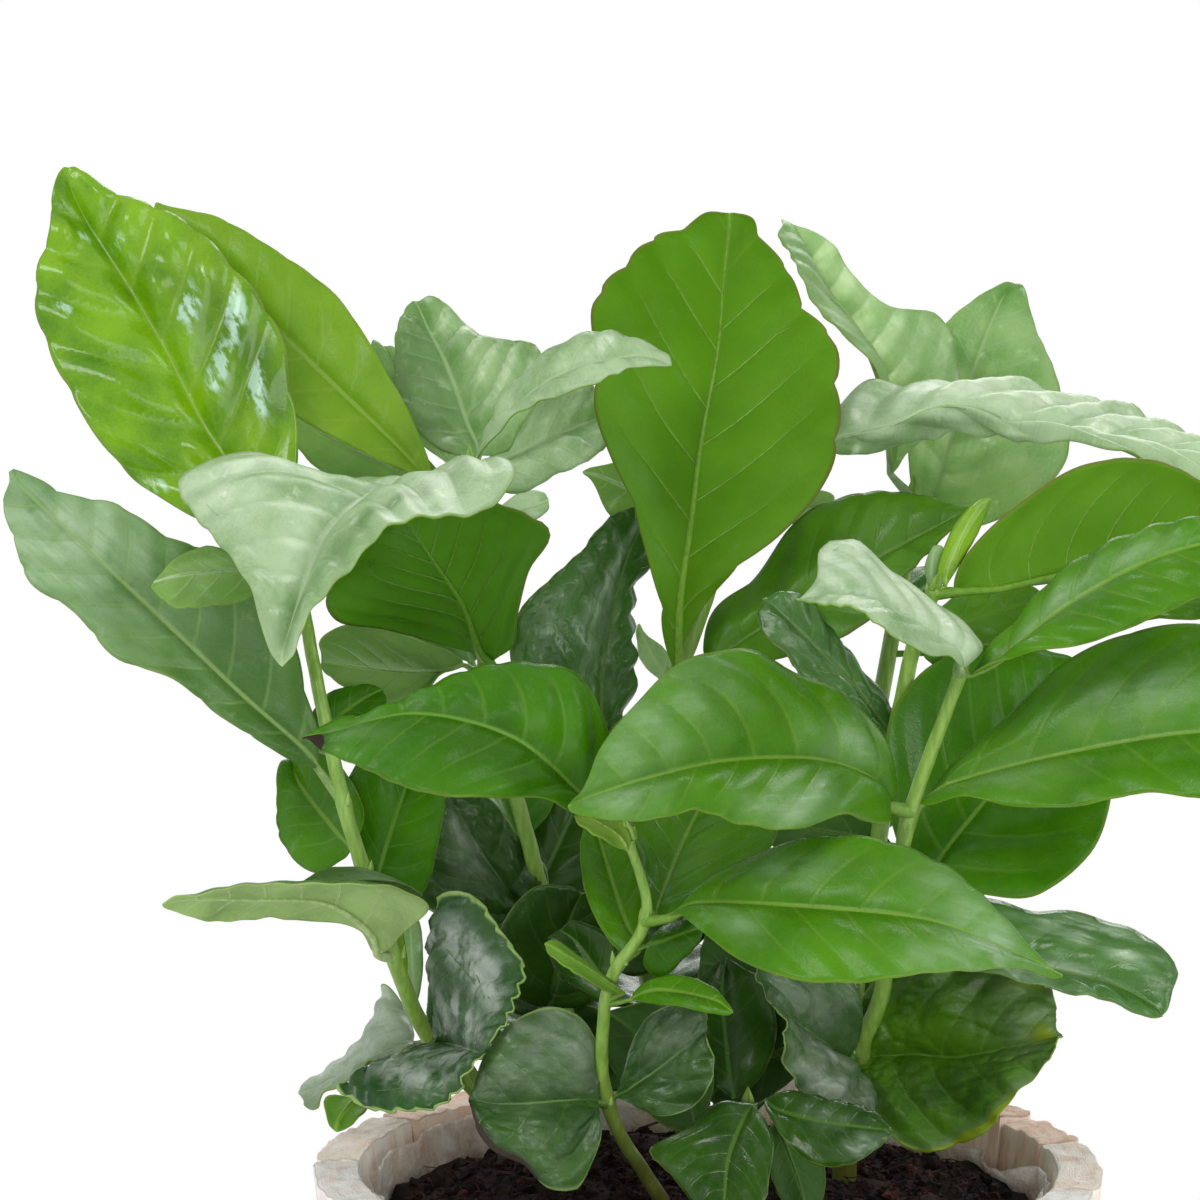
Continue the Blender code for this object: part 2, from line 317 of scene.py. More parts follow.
def settle(host: bpy.types.Object) -> Mesh:
    """Turns a helper object with modifiers into the plain mesh that they make, and removes it.

    Args:
        host: the helper.

    Returns:
        The mesh.
    """
    graph = bpy.context.evaluated_depsgraph_get()
    ready = host.evaluated_get(graph)
    made = bpy.data.meshes.new_from_object(ready, preserve_all_data_layers=True, depsgraph=graph)
    host.modifiers.clear()
    bpy.data.objects.remove(host)
    return made


def thickened(mesh: Mesh, thickness: float, rim: int = 0) -> Mesh:
    """Gives a sheet its thickness, half of it on each side.

    Args:
        mesh: the sheet.
        thickness: in millimetres.
        rim: how many material slots further on its back and rim are.

    Returns:
        The closed mesh.
    """
    host = placed("sheet", mesh)
    shell = host.modifiers.new("thickness", "SOLIDIFY")
    shell.thickness, shell.offset = thickness * MM, 0
    shell.material_offset = shell.material_offset_rim = rim
    return settle(host)


def joined(meshes: Sequence[Mesh]) -> Mesh:
    """Joins meshes into one that keeps their materials and UV maps.

    Args:
        meshes: at least one mesh.

    Returns:
        The joined mesh.
    """
    hosts = [placed("host", mesh) for mesh in meshes]
    first = hosts[0]
    with bpy.context.temp_override(active_object=first, object=first, selected_editable_objects=hosts):
        bpy.ops.object.join()
    mesh = hosts[0].data
    bpy.data.objects.remove(hosts[0])
    return mesh


def add_piece(name: str, mesh: Mesh, nodes: Sequence[str] = ()) -> bpy.types.Object:
    """Makes a finished mesh a piece of the plant.

    Args:
        name: the piece's name.
        mesh: the mesh, in place.
        nodes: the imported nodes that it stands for.

    Returns:
        The piece.
    """
    mesh.name = name
    piece = placed(name, mesh)
    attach(piece, "root")
    if nodes:
        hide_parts(*nodes)
    LOG.info("%s: %d faces", name, len(mesh.polygons))
    return piece


def grid_mesh(name: str, points: np.ndarray, wrap: bool = False) -> Mesh:
    """A mesh of quads over rows of points, facing along (columns x rows).

    Args:
        name: the mesh's name.
        points: rows x columns x 3, in millimetres.
        wrap: whether the last column meets the first.

    Returns:
        The smooth mesh, in metres.
    """
    rows, columns = points.shape[:2]
    index = np.arange(rows * columns).reshape(rows, columns)
    if wrap:
        index = np.hstack([index, index[:, :1]])
    corners = (index[:-1, :-1], index[:-1, 1:], index[1:, 1:], index[1:, :-1])
    faces = np.stack(corners, -1).reshape(-1, 4)
    mesh = bpy.data.meshes.new(name)
    mesh.from_pydata((points.reshape(-1, 3) * MM).tolist(), [], faces.tolist())
    mesh.shade_smooth()
    return mesh


def ring(reach: object, turn: np.ndarray, height: object) -> np.ndarray:
    """Points round the pot's axis.

    Args:
        reach: their distance from the axis.
        turn: their directions, in radians.
        height: their height.

    Returns:
        The points.
    """
    return np.stack(np.broadcast_arrays(reach * np.cos(turn), reach * np.sin(turn), height), -1)


def corner_points(mesh: Mesh) -> np.ndarray:
    """Finds the point at each face corner of a mesh.

    Args:
        mesh: the mesh.

    Returns:
        The points' numbers.
    """
    corner = np.empty(len(mesh.loops), np.int32)
    mesh.loops.foreach_get("vertex_index", corner)
    return corner


def store_uv(mesh: Mesh, name: str, u: np.ndarray, v: np.ndarray) -> None:
    """Stores a UV map from values at the mesh's face corners."""
    pairs = np.stack([np.ravel(u), np.ravel(v)], -1)
    mesh.uv_layers.new(name=name).data.foreach_set("uv", pairs.astype(np.float32).ravel())


def add_uv(mesh: Mesh, name: str, u: np.ndarray, v: np.ndarray) -> None:
    """Stores a UV map from values at the mesh's points.

    Args:
        mesh: the mesh.
        name: the map's name.
        u: first coordinate of each point.
        v: second coordinate of each point.
    """
    corner = corner_points(mesh)
    store_uv(mesh, name, np.ravel(u)[corner], np.ravel(v)[corner])


def close_faces(bm: bmesh.types.BMesh, mesh: Mesh) -> None:
    """Splits new many-sided faces, turns all faces outwards and writes them to a mesh.

    Args:
        bm: the edited mesh, which is freed.
        mesh: where it goes.
    """
    bmesh.ops.triangulate(bm, faces=[face for face in bm.faces if len(face.verts) > 4])
    bmesh.ops.recalc_face_normals(bm, faces=bm.faces)
    bm.to_mesh(mesh)
    bm.free()


def close_mesh(mesh: Mesh) -> None:
    """Fills the open rims of a mesh.

    Args:
        mesh: the mesh, which is changed in place.
    """
    bm = bmesh.new()
    bm.from_mesh(mesh)
    bmesh.ops.holes_fill(bm, edges=[edge for edge in bm.edges if edge.is_boundary], sides=0)
    close_faces(bm, mesh)


def path_mesh(paths: Sequence[Tube]) -> Mesh:
    """A mesh of bare edges along paths, with each point's girth stored for the tube tree.

    Args:
        paths: (points, radii) of each path, in millimetres.

    Returns:
        The mesh, in metres.
    """
    points = np.vstack([p for p, _ in paths])
    edges = []
    start = 0
    for path, _ in paths:
        edges += [(i, i + 1) for i in range(start, start + len(path) - 1)]
        start += len(path)
    mesh = bpy.data.meshes.new("paths")
    mesh.from_pydata((points * MM).tolist(), edges, [])
    girth = mesh.attributes.new("girth", "FLOAT", "POINT")
    girth.data.foreach_set("value", (np.concatenate([r for _, r in paths]) * MM).astype(np.float32))
    return mesh


def smooth_path(points: np.ndarray, steps: int) -> np.ndarray:
    """A Catmull-Rom curve through points.

    Args:
        points: the points, in order.
        steps: how many steps between two of them.

    Returns:
        The curve's points.
    """
    padded = np.vstack([2 * points[0] - points[1], points, 2 * points[-1] - points[-2]])
    path = []
    for a, b, c, d in zip(padded, padded[1:], padded[2:], padded[3:]):
        for t in np.arange(steps) / steps:
            bend = (-a + 3 * b - 3 * c + d) * t**3 + (2 * a - 5 * b + 4 * c - d) * t**2
            path.append(0.5 * (2 * b + (c - a) * t + bend))
    return np.array([*path, points[-1]])


def ripple(seed: int, *coordinates: np.ndarray, waves: int = 7, spread: float = 1.0) -> np.ndarray:
    """A smooth random field: a sum of sine waves in random directions.

    Args:
        seed: picks the waves.
        coordinates: one array for each direction.
        waves: how many waves.
        spread: how much the waves differ in length.

    Returns:
        Values mostly between -1 and 1.
    """
    rng = np.random.default_rng(seed)
    total = np.zeros(np.broadcast(*coordinates).shape)
    for _ in range(waves):
        way = rng.normal(size=len(coordinates)) * (1 + spread * rng.random())
        turn = sum(c * w for c, w in zip(coordinates, way)) + rng.random() * math.tau
        total = total + np.sin(turn * math.tau / 2.5)
    return total / math.sqrt(waves)


def blisters(seed: int, x: np.ndarray, y: np.ndarray) -> np.ndarray:
    """Rounded cells about one unit across, with creases between them.

    Args:
        seed: picks the cells.
        x: place along.
        y: place across.

    Returns:
        The height, from 0 in the creases to 1.
    """
    table = np.random.default_rng(seed).random((64, 64, 2))
    column, row = np.floor(x).astype(int), np.floor(y).astype(int)
    near = second = np.full(np.shape(x), 9.0)
    for i in (-1, 0, 1):
        for j in (-1, 0, 1):
            centre = table[(column + i) % 64, (row + j) % 64]
            gap = np.hypot(column + i + centre[..., 0] - x, row + j + centre[..., 1] - y)
            second = np.minimum(second, np.maximum(near, gap))
            near = np.minimum(near, gap)
    return np.sqrt(np.clip(2.0 * (second - near), 0, 1))


def read(table: np.ndarray, place: np.ndarray) -> np.ndarray:
    """Reads between the rows of a table.

    Args:
        table: evenly spaced rows of vectors.
        place: where to read it, from 0 at the first row to 1 at the last.

    Returns:
        One vector for each place.
    """
    at = np.clip(place, 0, 1) * (len(table) - 1)
    row = np.minimum(at.astype(int), len(table) - 2)
    part = (at - row)[..., None]
    return table[row] * (1 - part) + table[row + 1] * part


def steady(vectors: np.ndarray) -> np.ndarray:
    """Unit vectors that lean on their mean where they are too short to trust.

    Args:
        vectors: rows of vectors.

    Returns:
        The unit vectors.
    """
    firm = vectors + 0.2 * vectors.mean(axis=0)
    return firm / np.linalg.norm(firm, axis=1, keepdims=True)


class TubeTree(GeometryTree):
    """Tubes along bare edges, as thick as each point's girth."""

    def __init__(self) -> None:
        """Builds the tree."""
        super().__init__("tubes_along_paths")
        sides = self.size("Sides", "NodeSocketInt")
        curve = self.add("GeometryNodeMeshToCurve", {0: self.entry.outputs[0]})
        profile = self.add("GeometryNodeCurvePrimitiveCircle", {"Resolution": sides, "Radius": 1.0})
        girth = self.add("GeometryNodeInputNamedAttribute", {"Name": "girth"}, data_type="FLOAT")
        inputs = {
            "Curve": curve.outputs[0],
            "Profile Curve": profile.outputs[0],
            "Scale": girth.outputs[0],
            "Fill Caps": True,
        }
        tube = self.add("GeometryNodeCurveToMesh", inputs)
        self.close(self.add("GeometryNodeSetShadeSmooth", {0: tube.outputs[0]}).outputs[0])


# ---------------------------------------------------------------------------------------------
# Leaves
# ---------------------------------------------------------------------------------------------


@dataclass(frozen=True)
class LeafFinish:
    """Colours and gloss of a leaf.

    glow is the share of light that passes through the blade, lines the strength of the side
    veins, rib how far the midrib's colour reaches, and crinkle the height of small blisters.
    The painted sheen, whitish highlights and reflections laid into the colour, has a colour of its own and a
    strength in cloudy patches; bands ties it to the side veins, and streaks breaks it up into strokes, which
    brush draws out on the leaf's plane, or along the midrib if swept. crisp gives it sharp edges. coat is a
    gloss over all.
    """

    name: str
    slot: str
    face: Colour
    deep: Colour
    vein: Colour
    under: Colour
    rough: float = 0.3
    glow: float = 0.3
    lines: float = 0.35
    # strength of the painted sheen in cloudy patches
    cloud_sheen: float = 0.3
    bands: float = 0.7
    streaks: float = 0.35
    brush: Colour = (0.05, 0.40, 1.0)
    spots: float = 0.0
    margin: float = 0.3
    rib: float = 0.8
    gloss: float = 0.34
    crinkle: float = 0.0
    coat: float = 0.0
    crisp: bool = False
    swept: bool = False
    # colour of the painted sheen: whitish highlights and reflections laid into the blade's colour
    painted_sheen: Colour = (0.45, 0.58, 0.42)
    edge: Colour = (0.30, 0.38, 0.06)


class Look(Enum):
    """The leaf finishes on the plant."""

    YOUNG = LeafFinish(
        "young", "leaf_young", (0.235, 0.450, 0.006), (0.085, 0.240, 0.003), (0.330, 0.520, 0.070),
        (0.240, 0.420, 0.030), rough=0.20, glow=0.32, lines=0.22, cloud_sheen=0.1, bands=0.7, streaks=0.6,
        brush=(0.16, 0.6, 1.0), rib=0.45, coat=0.32, crisp=True, painted_sheen=(0.52, 0.72, 0.62),
    )
    LIME = LeafFinish(
        "lime", "leaf_young", (0.225, 0.385, 0.024), (0.165, 0.325, 0.012), (0.290, 0.450, 0.070),
        (0.270, 0.420, 0.080), rough=0.34, glow=0.40, cloud_sheen=0.15,
    )
    SILK = LeafFinish(
        "silk", "leaf_young", (0.110, 0.220, 0.040), (0.060, 0.150, 0.020), (0.480, 0.620, 0.280),
        (0.470, 0.650, 0.260), rough=0.30, glow=0.35,
    )
    FRESH = LeafFinish(
        "fresh", "leaf_mid", (0.165, 0.310, 0.085), (0.085, 0.220, 0.035), (0.270, 0.430, 0.130),
        (0.200, 0.350, 0.090), rough=0.30, glow=0.30, bands=0.3,
    )
    MID = LeafFinish(
        "mid", "leaf_mid", (0.064, 0.225, 0.004), (0.036, 0.150, 0.003), (0.170, 0.350, 0.045),
        (0.120, 0.270, 0.030), rough=0.27, glow=0.28, bands=0.4, lines=0.28, cloud_sheen=0.15, gloss=0.20,
    )
    BRIGHT = LeafFinish(
        "bright", "leaf_mid", (0.090, 0.270, 0.005), (0.054, 0.195, 0.003), (0.220, 0.400, 0.050),
        (0.140, 0.300, 0.030), rough=0.28, glow=0.30, cloud_sheen=0.20, bands=0.25, lines=0.25, gloss=0.22,
    )
    BROAD = LeafFinish(
        "broad", "leaf_mid", (0.118, 0.300, 0.005), (0.080, 0.225, 0.004), (0.180, 0.360, 0.030),
        (0.120, 0.305, 0.007), rough=0.34, glow=0.35, lines=0.14, cloud_sheen=0.15, margin=0.6,
        edge=(0.20, 0.16, 0.04),
    )
    SHADE = LeafFinish(
        "shade", "leaf_mid", (0.104, 0.275, 0.010), (0.060, 0.180, 0.008), (0.130, 0.280, 0.025),
        (0.092, 0.275, 0.010), rough=0.32, glow=0.30, lines=0.15, margin=0.5, edge=(0.16, 0.13, 0.03),
    )
    DARK = LeafFinish(
        "dark", "leaf_dark", (0.062, 0.178, 0.026), (0.030, 0.098, 0.015), (0.110, 0.220, 0.040),
        (0.080, 0.180, 0.035), rough=0.24, glow=0.15, lines=0.25, spots=0.2, streaks=0.8, bands=0.3,
        cloud_sheen=0.6, coat=0.15,
    )
    # very dark green for the small leaves and the filler leaves low in the plant's middle; its darkness is
    # partly painted shade
    DEEP = LeafFinish(
        "deep", "leaf_dark", (0.032, 0.095, 0.008), (0.014, 0.052, 0.005), (0.090, 0.200, 0.030),
        (0.050, 0.140, 0.020), rough=0.24, glow=0.15, lines=0.22, spots=0.2, cloud_sheen=0.15, bands=0.3,
        gloss=0.26, coat=0.08,
    )
    SEED = LeafFinish(
        "seed", "leaf_dark", (0.050, 0.125, 0.022), (0.020, 0.066, 0.011), (0.100, 0.210, 0.045),
        (0.090, 0.200, 0.030), rough=0.30, glow=0.18, lines=0.14, cloud_sheen=0.22, bands=0.0, spots=0.5,
        streaks=0.6, margin=0.8, crinkle=0.42, brush=(0.16, 0.30, 1.0), painted_sheen=(0.34, 0.39, 0.33),
        edge=(0.26, 0.38, 0.12), rib=0.5,
    )
    # a dark green seed leaf whose grey is painted reflection, in streaks swept along the midrib
    GREY = LeafFinish(
        "grey", "leaf_dark", (0.036, 0.110, 0.022), (0.014, 0.054, 0.011), (0.100, 0.210, 0.045),
        (0.090, 0.200, 0.030), rough=0.30, glow=0.18, lines=0.10, cloud_sheen=0.2, bands=0.0, spots=0.5,
        streaks=0.95, margin=0.9, crinkle=0.40, brush=(9.0, 0.07, 1.0), swept=True,
        painted_sheen=(0.40, 0.45, 0.40), edge=(0.28, 0.42, 0.12), rib=0.3,
    )
    OLD = LeafFinish(
        "old", "leaf_dark", (0.088, 0.235, 0.009), (0.026, 0.088, 0.004), (0.120, 0.240, 0.030),
        (0.090, 0.200, 0.030), rough=0.34, glow=0.22, lines=0.30, cloud_sheen=0.10, bands=0.0, spots=0.3,
        streaks=0.5, margin=0.7, crinkle=0.55, painted_sheen=(0.16, 0.26, 0.10), edge=(0.24, 0.34, 0.03), rib=0.6,
    )
    # grey-green seed leaf whose pale grey is partly painted sheen, in the face colour and in a strong sheen
    ASHY = LeafFinish(
        "ashy", "leaf_dark", (0.290, 0.390, 0.250), (0.120, 0.200, 0.090), (0.340, 0.420, 0.260),
        (0.120, 0.220, 0.050), rough=0.34, glow=0.25, lines=0.15, cloud_sheen=0.9, bands=0.0, streaks=0.6,
        margin=0.6, crinkle=0.22, brush=(0.07, 0.40, 1.0), painted_sheen=(0.60, 0.66, 0.59), rib=0.5,
    )
    # whitish green: the paleness is partly the leaf's own and partly painted sheen, in the face colour and
    # in a strong sheen
    PALE = LeafFinish(
        "pale", "leaf_pale", (0.490, 0.620, 0.410), (0.200, 0.360, 0.125), (0.500, 0.640, 0.400),
        (0.230, 0.400, 0.090), rough=0.36, glow=0.35, cloud_sheen=1.0, bands=0.5, painted_sheen=(0.82, 0.87, 0.82),
    )
    # hazy grey-green: the haze is partly the leaf's own pallor and partly painted sheen, in the face colour
    # and in the sheen
    HAZY = LeafFinish(
        "hazy", "leaf_pale", (0.340, 0.480, 0.250), (0.150, 0.310, 0.080), (0.400, 0.540, 0.300),
        (0.320, 0.470, 0.210), rough=0.38, glow=0.45, cloud_sheen=0.8, painted_sheen=(0.74, 0.80, 0.74),
    )


@dataclass(frozen=True)
class Stem:
    """A stem through points that bend it, thinning from foot to top."""

    name: str
    points: tuple[tuple[float, ...], ...]
    foot: float
    top: float

    def path(self, steps: int = 4) -> np.ndarray:
        """The stem's centre line.

        Args:
            steps: steps between two of its points.

        Returns:
            Its points, the first raised to the soil.
        """
        first, second = self.points[:2]
        lean = math.dist(first, second[:2]) / (second[2] - Pot.SOIL_CROWN)
        foot = Pot.SOIL_CROWN + Pot.GAP + self.foot * lean
        return smooth_path(np.array([(*first, foot), *self.points[1:]], float), steps)

    def at(self, height: float) -> tuple[np.ndarray, float]:
        """The stem at a height.

        Args:
            height: height above the pot's underside.

        Returns:
            The point and the stem's radius there.
        """
        path = self.path()
        share = np.interp(height, path[:, 2], np.linspace(0, 1, len(path)))
        point = [np.interp(height, path[:, 2], path[:, axis]) for axis in range(3)]
        return np.array(point), float(self.foot + (self.top - self.foot) * share)


@dataclass(frozen=True)
class Leaf:
    """One leaf: where it leaves its stem and the curves that its blade is stretched between.

    rib runs from the stalk to the tip. It is one row of x, y, z of its first point and then of the
    step to each next one, and the steps are shorter near both ends. left and right are the
    margins, as steps from the rib's first point, without the tip that they share with it. pairs
    counts the side veins, quilt is how far the blade swells between them, ruffle waves the
    margin, scallop pushes it out between them and bulge arches each half. patches are spots of
    painted sheen, a highlight laid into the colour, or of painted shade if the amount is negative,
    each as (place, side, length, width, amount); the strongest sheen turns to yellowing and the
    strongest shade to a dried edge. An extra leaf has no packed leaf of its own.
    """

    name: str
    stem: str
    height: float
    look: Look
    rib: Row
    left: Row
    right: Row
    pairs: int = 8
    quilt: float = 0.5
    ruffle: float = 0.4
    scallop: float = 0.25
    bulge: float = 0.08
    patches: tuple[Row, ...] = ()
    stalk: bool = True
    extra: bool = False

    def curves(self) -> list[np.ndarray]:
        """The left margin, the rib and the right margin.

        Returns:
            The three smooth curves, each as LeafBlade.SAMPLES points.
        """
        rib, left, right = (
            np.array(row, float).reshape(-1, 3).cumsum(axis=0) for row in (self.rib, self.left, self.right)
        )
        left, right = (np.vstack([rib[:1], rib[0] + side, rib[-1:]]) for side in (left, right))
        even = np.linspace(0, 1, LeafBlade.SAMPLES)
        return [read(smooth_path(points.round(1), 12), even) for points in (left, rib, right)]


class LeafBlade:
    """Builds one leaf: a thin quilted blade, and its stalk and veins as tubes under it.

    Places on the blade are (u, v): u runs from 0 at the stalk to 1 at the tip, v from -1 on the
    left margin over 0 on the rib to 1 on the right margin. VEIN_ROOTS, LEVEL_ENDS and the
    midrib's places are shares of the rib's length. A BLISTERS row is (length, width, amount).
    """

    SAMPLES = 97
    THICKNESS = 0.34
    RIM = 0.22
    VEIN_LEAN = 0.62
    VEIN_CURL = 0.30
    VEIN_REACH = 0.86
    VEIN_ROOTS = (0.03, 0.86)
    VEIN_POINTS, MIDRIB_POINTS = 9, 40
    VEIN_RADII = (0.24, 0.04)
    MIDRIB_RADII = (0.9, 0.6, 0.12)
    MIDRIB_PLACES = (0, 0.25, 0.97)
    MIDRIB_END = 0.93
    STOUT_HALF_WIDTH = 17
    STOUT_LIMITS = (0.45, 1.1)
    STALK_STEPS = 6
    STALK_WIDENING = 1.2
    RIGHT_SHIFT = 0.35
    LEVEL_ENDS = (0.1, 0.12)
    RIB_REACH = 2.5
    GROOVE_DEPTH, GROOVE_WIDTH = 0.3, 0.9
    WAVE_HEIGHT = 0.4
    FULL_RUFFLE_HALF_WIDTH = 8
    BLISTERS = ((6.5, 3.6, 1.0), (3.2, 1.9, 0.5))
    BLISTER_DRIFT = 1.2
    ROWS_PER_MM, COLUMNS_PER_MM = 1.25, 1.1
    ROWS = (20, 110)
    HALF_COLUMNS = (6, 18)
    SEED_SHIFT = 150.0

    def __init__(self, leaf: Leaf, stem: Stem, seed: int) -> None:
        """Works out the leaf's place.

        Args:
            leaf: its shape.
            stem: the stem that carries it.
            seed: picks its small irregularities.
        """
        self.leaf = leaf
        self.seed = seed
        self.joint, self.girth = stem.at(leaf.height)
        self.left, self.rib, self.right = leaf.curves()
        steps = np.linalg.norm(np.diff(self.rib, axis=0), axis=1)
        self.length = float(steps.sum())
        self.travel = np.concatenate([[0.0], np.cumsum(steps)]) / self.length
        self.widest = float(np.linalg.norm(self.right - self.left, axis=1).max()) / 2
        along = np.gradient(self.rib, axis=0)
        across = (self.rib - self.left, self.right - self.left, self.right - self.rib)
        self.left_face, self.face, self.right_face = (steady(np.cross(side, along)) for side in across)
        self.aside = steady(self.right - self.left)
        spread = np.vstack([self.left, self.rib, self.right]) - self.rib.mean(axis=0)
        self.plane = np.linalg.svd(spread)[2][:2]

    def edge(self, u: np.ndarray, v: np.ndarray) -> np.ndarray:
        """The margin beside each place, on the side that v gives."""
        return np.where(v[..., None] < 0, read(self.left, u), read(self.right, u))

    def half(self, u: np.ndarray, v: np.ndarray) -> np.ndarray:
        """Half width of the blade on the side that v gives."""
        return np.linalg.norm(self.edge(u, v) - read(self.rib, u), axis=-1) + self.RIM

    def share(self, u: np.ndarray) -> np.ndarray:
        """The share of the rib's length that lies behind u."""
        return np.interp(u, np.linspace(0, 1, self.SAMPLES), self.travel)

    def station(self, share: np.ndarray) -> np.ndarray:
        """The u that has a share of the rib's length behind it."""
        return np.interp(share, self.travel, np.linspace(0, 1, self.SAMPLES))

    def lead(self, out: np.ndarray) -> np.ndarray:
        """How far towards the tip a side vein has run at a distance from the rib."""
        return out * self.VEIN_LEAN + self.VEIN_CURL * out**2 / self.widest

    def phase(self, u: np.ndarray, v: np.ndarray) -> np.ndarray:
        """Counts side veins: each whole number is a vein.

        Args:
            u: place along the blade.
            v: place across it.

        Returns:
            The count.
        """
        behind = self.share(u) - self.lead(np.abs(v) * self.half(u, v)) / self.length
        return self.leaf.pairs * behind + np.where(v > 0, self.RIGHT_SHIFT, 0.0)

    def flat(self, u: np.ndarray, v: np.ndarray) -> np.ndarray:
        """Places on the leaf's own plane, along its longest way and across that, in millimetres."""
        rib = read(self.rib, u)
        return (rib + (self.edge(u, v) - rib) * np.abs(v)[..., None]) @ self.plane.T

    def blistered(self, u: np.ndarray, v: np.ndarray) -> np.ndarray:
        """Small blisters of a crinkled blade, level at its two ends.

        Args:
            u: place along the blade.
            v: place across it.

        Returns:
            Their height, about 1 at most.
        """
        x, y = np.moveaxis(self.flat(u, v), -1, 0)
        drift = (ripple(self.seed, y / 6, x / 9), ripple(self.seed, x / 9, y / 6))
        x, y = x + self.BLISTER_DRIFT * drift[0], y + self.BLISTER_DRIFT * drift[1]
        cells = sum(
            amount * blisters(self.seed + count, x / long, y / short)
            for count, (long, short, amount) in enumerate(self.BLISTERS)
        )
        return cells * np.clip(6 * np.minimum(u, 1 - u), 0, 1)

    def relief(self, u: np.ndarray, v: np.ndarray) -> np.ndarray:
        """How far the blade stands off its plain sheet.

        Args:
            u: place along the blade.
            v: place across it.

        Returns:
            The height in millimetres.
        """
        leaf, crinkle = self.leaf, self.leaf.look.value.crinkle
        half, s, far, phase = self.half(u, v), self.share(u), np.abs(v), self.phase(u, v)
        out = far * half
        start, end = self.LEVEL_ENDS
        ends = np.clip(s / start, 0, 1) * np.clip((1 - s) / end, 0, 1)
        # the swelling between the side veins, and slow waves over the whole blade
        reach = (1 - np.exp(-((out / self.RIB_REACH) ** 2))) * (1 - 0.55 * far**4)
        uneven = 1 + 0.3 * ripple(self.seed + 1, s * 5, v * 2)
        swell = leaf.quilt * np.abs(np.sin(np.pi * phase)) ** 1.1 * uneven
        wave = self.WAVE_HEIGHT * ripple(self.seed + 2, s * 2.2, v * 1.1)
        height = (swell + wave) * reach * ends
        # the groove over the midrib and the ruffle of the margin
        height = height - self.GROOVE_DEPTH * np.exp(-((out / self.GROOVE_WIDTH) ** 2)) * ends
        wave = 0.4 * np.cos(math.tau * (phase - 0.5)) + 0.5 * ripple(self.seed + 3, s * 4, v)
        wide = np.minimum(1, half / self.FULL_RUFFLE_HALF_WIDTH)
        height = height + far**3 * leaf.ruffle * ends * wide * wave
        if crinkle:
            height = height + crinkle * self.blistered(u, v)
        return height + leaf.bulge * 4 * far * (1 - far) * half

    def sheet(self, u: np.ndarray, v: np.ndarray, lift: float | np.ndarray = 0.0) -> np.ndarray:
        """Points of the blade.

        Args:
            u: place along the blade.
            v: place across it.
            lift: how far above the sheet.

        Returns:
            The points, in millimetres.
        """
        u, v = np.broadcast_arrays(np.asarray(u, float), np.asarray(v, float))
        far, rib = np.abs(v)[..., None], read(self.rib, u)
        own = np.where(v[..., None] < 0, read(self.left_face, u), read(self.right_face, u))
        up = read(self.face, u) * (1 - far) + own * far
        up = up / np.linalg.norm(up, axis=-1, keepdims=True)
        lobes = np.sqrt(np.abs(np.sin(np.pi * self.phase(u, np.sign(v) + 0 * u)))) - 0.6
        inside = np.clip(4 * np.minimum(u, 1 - u), 0, 1)
        wide = self.RIM + self.leaf.scallop * lobes * np.abs(v) ** 3 * inside
        flat = rib + (self.edge(u, v) - rib) * far + read(self.aside, u) * (v * wide)[..., None]
        return flat + up * (self.relief(u, v) + lift)[..., None]

    def paint(self, u: np.ndarray, v: np.ndarray) -> tuple[np.ndarray, np.ndarray]:
        """The painted sheen and painted shade of the leaf's patches.

        Args:
            u: place along the blade.
            v: place across it.

        Returns:
            The strength of each at every place.
        """
        s = self.share(u)
        marks = [np.zeros(s.shape), np.zeros(s.shape)]
        for place, side, length, width, amount in self.leaf.patches:
            spot = abs(amount) * np.exp(-(((s - place) / length) ** 2) - ((v - side) / width) ** 2)
            marks[int(amount < 0)] = np.maximum(marks[int(amount < 0)], spot)
        return marks[0], marks[1]

    def blade(self, upper: Material, under: Material) -> Mesh:
        """The blade as a closed thin sheet with a different finish on each face.

        Args:
            upper: material of the upper face.
            under: material of the underside.

        Returns:
            The mesh.
        """
        fine = 2 if self.leaf.look.value.crinkle else 1
        rows = int(np.clip(fine * self.length * self.ROWS_PER_MM, *self.ROWS))
        fewest, most = self.HALF_COLUMNS
        columns = 2 * int(np.clip(fine * self.widest * self.COLUMNS_PER_MM, fewest, most * fine + 8))
        u, v = np.meshgrid(np.linspace(0, 1, rows + 1), np.linspace(-1, 1, columns + 1), indexing="ij")
        mesh = grid_mesh("blade", self.sheet(u, v))
        add_uv(mesh, "sheet", *(np.moveaxis(self.flat(u, v), -1, 0) + self.SEED_SHIFT * self.seed))
        add_uv(mesh, "place", self.share(u), v * self.half(u, v))
        add_uv(mesh, "paint", *self.paint(u, v))
        self.add_vein_uv(mesh, u, v)
        mesh.materials.append(upper)
        mesh.materials.append(under)
        return thickened(mesh, self.THICKNESS, 1)

    def add_vein_uv(self, mesh: Mesh, u: np.ndarray, v: np.ndarray) -> None:
        """Stores the vein count and the share of the way to the margin at each face corner.

        Args:
            mesh: the blade's grid.
            u: place of each point along the blade.
            v: place of each point across it.
        """
        corner = corner_points(mesh)
        u, v = (place.ravel()[corner].reshape(-1, 4) for place in (u, v))
        side = np.where(v.mean(axis=1, keepdims=True) < 0, -1e-6, 1e-6)
        near = np.where(np.abs(v) < 1e-9, side, v)
        store_uv(mesh, "veins", self.phase(u, near), np.abs(near))

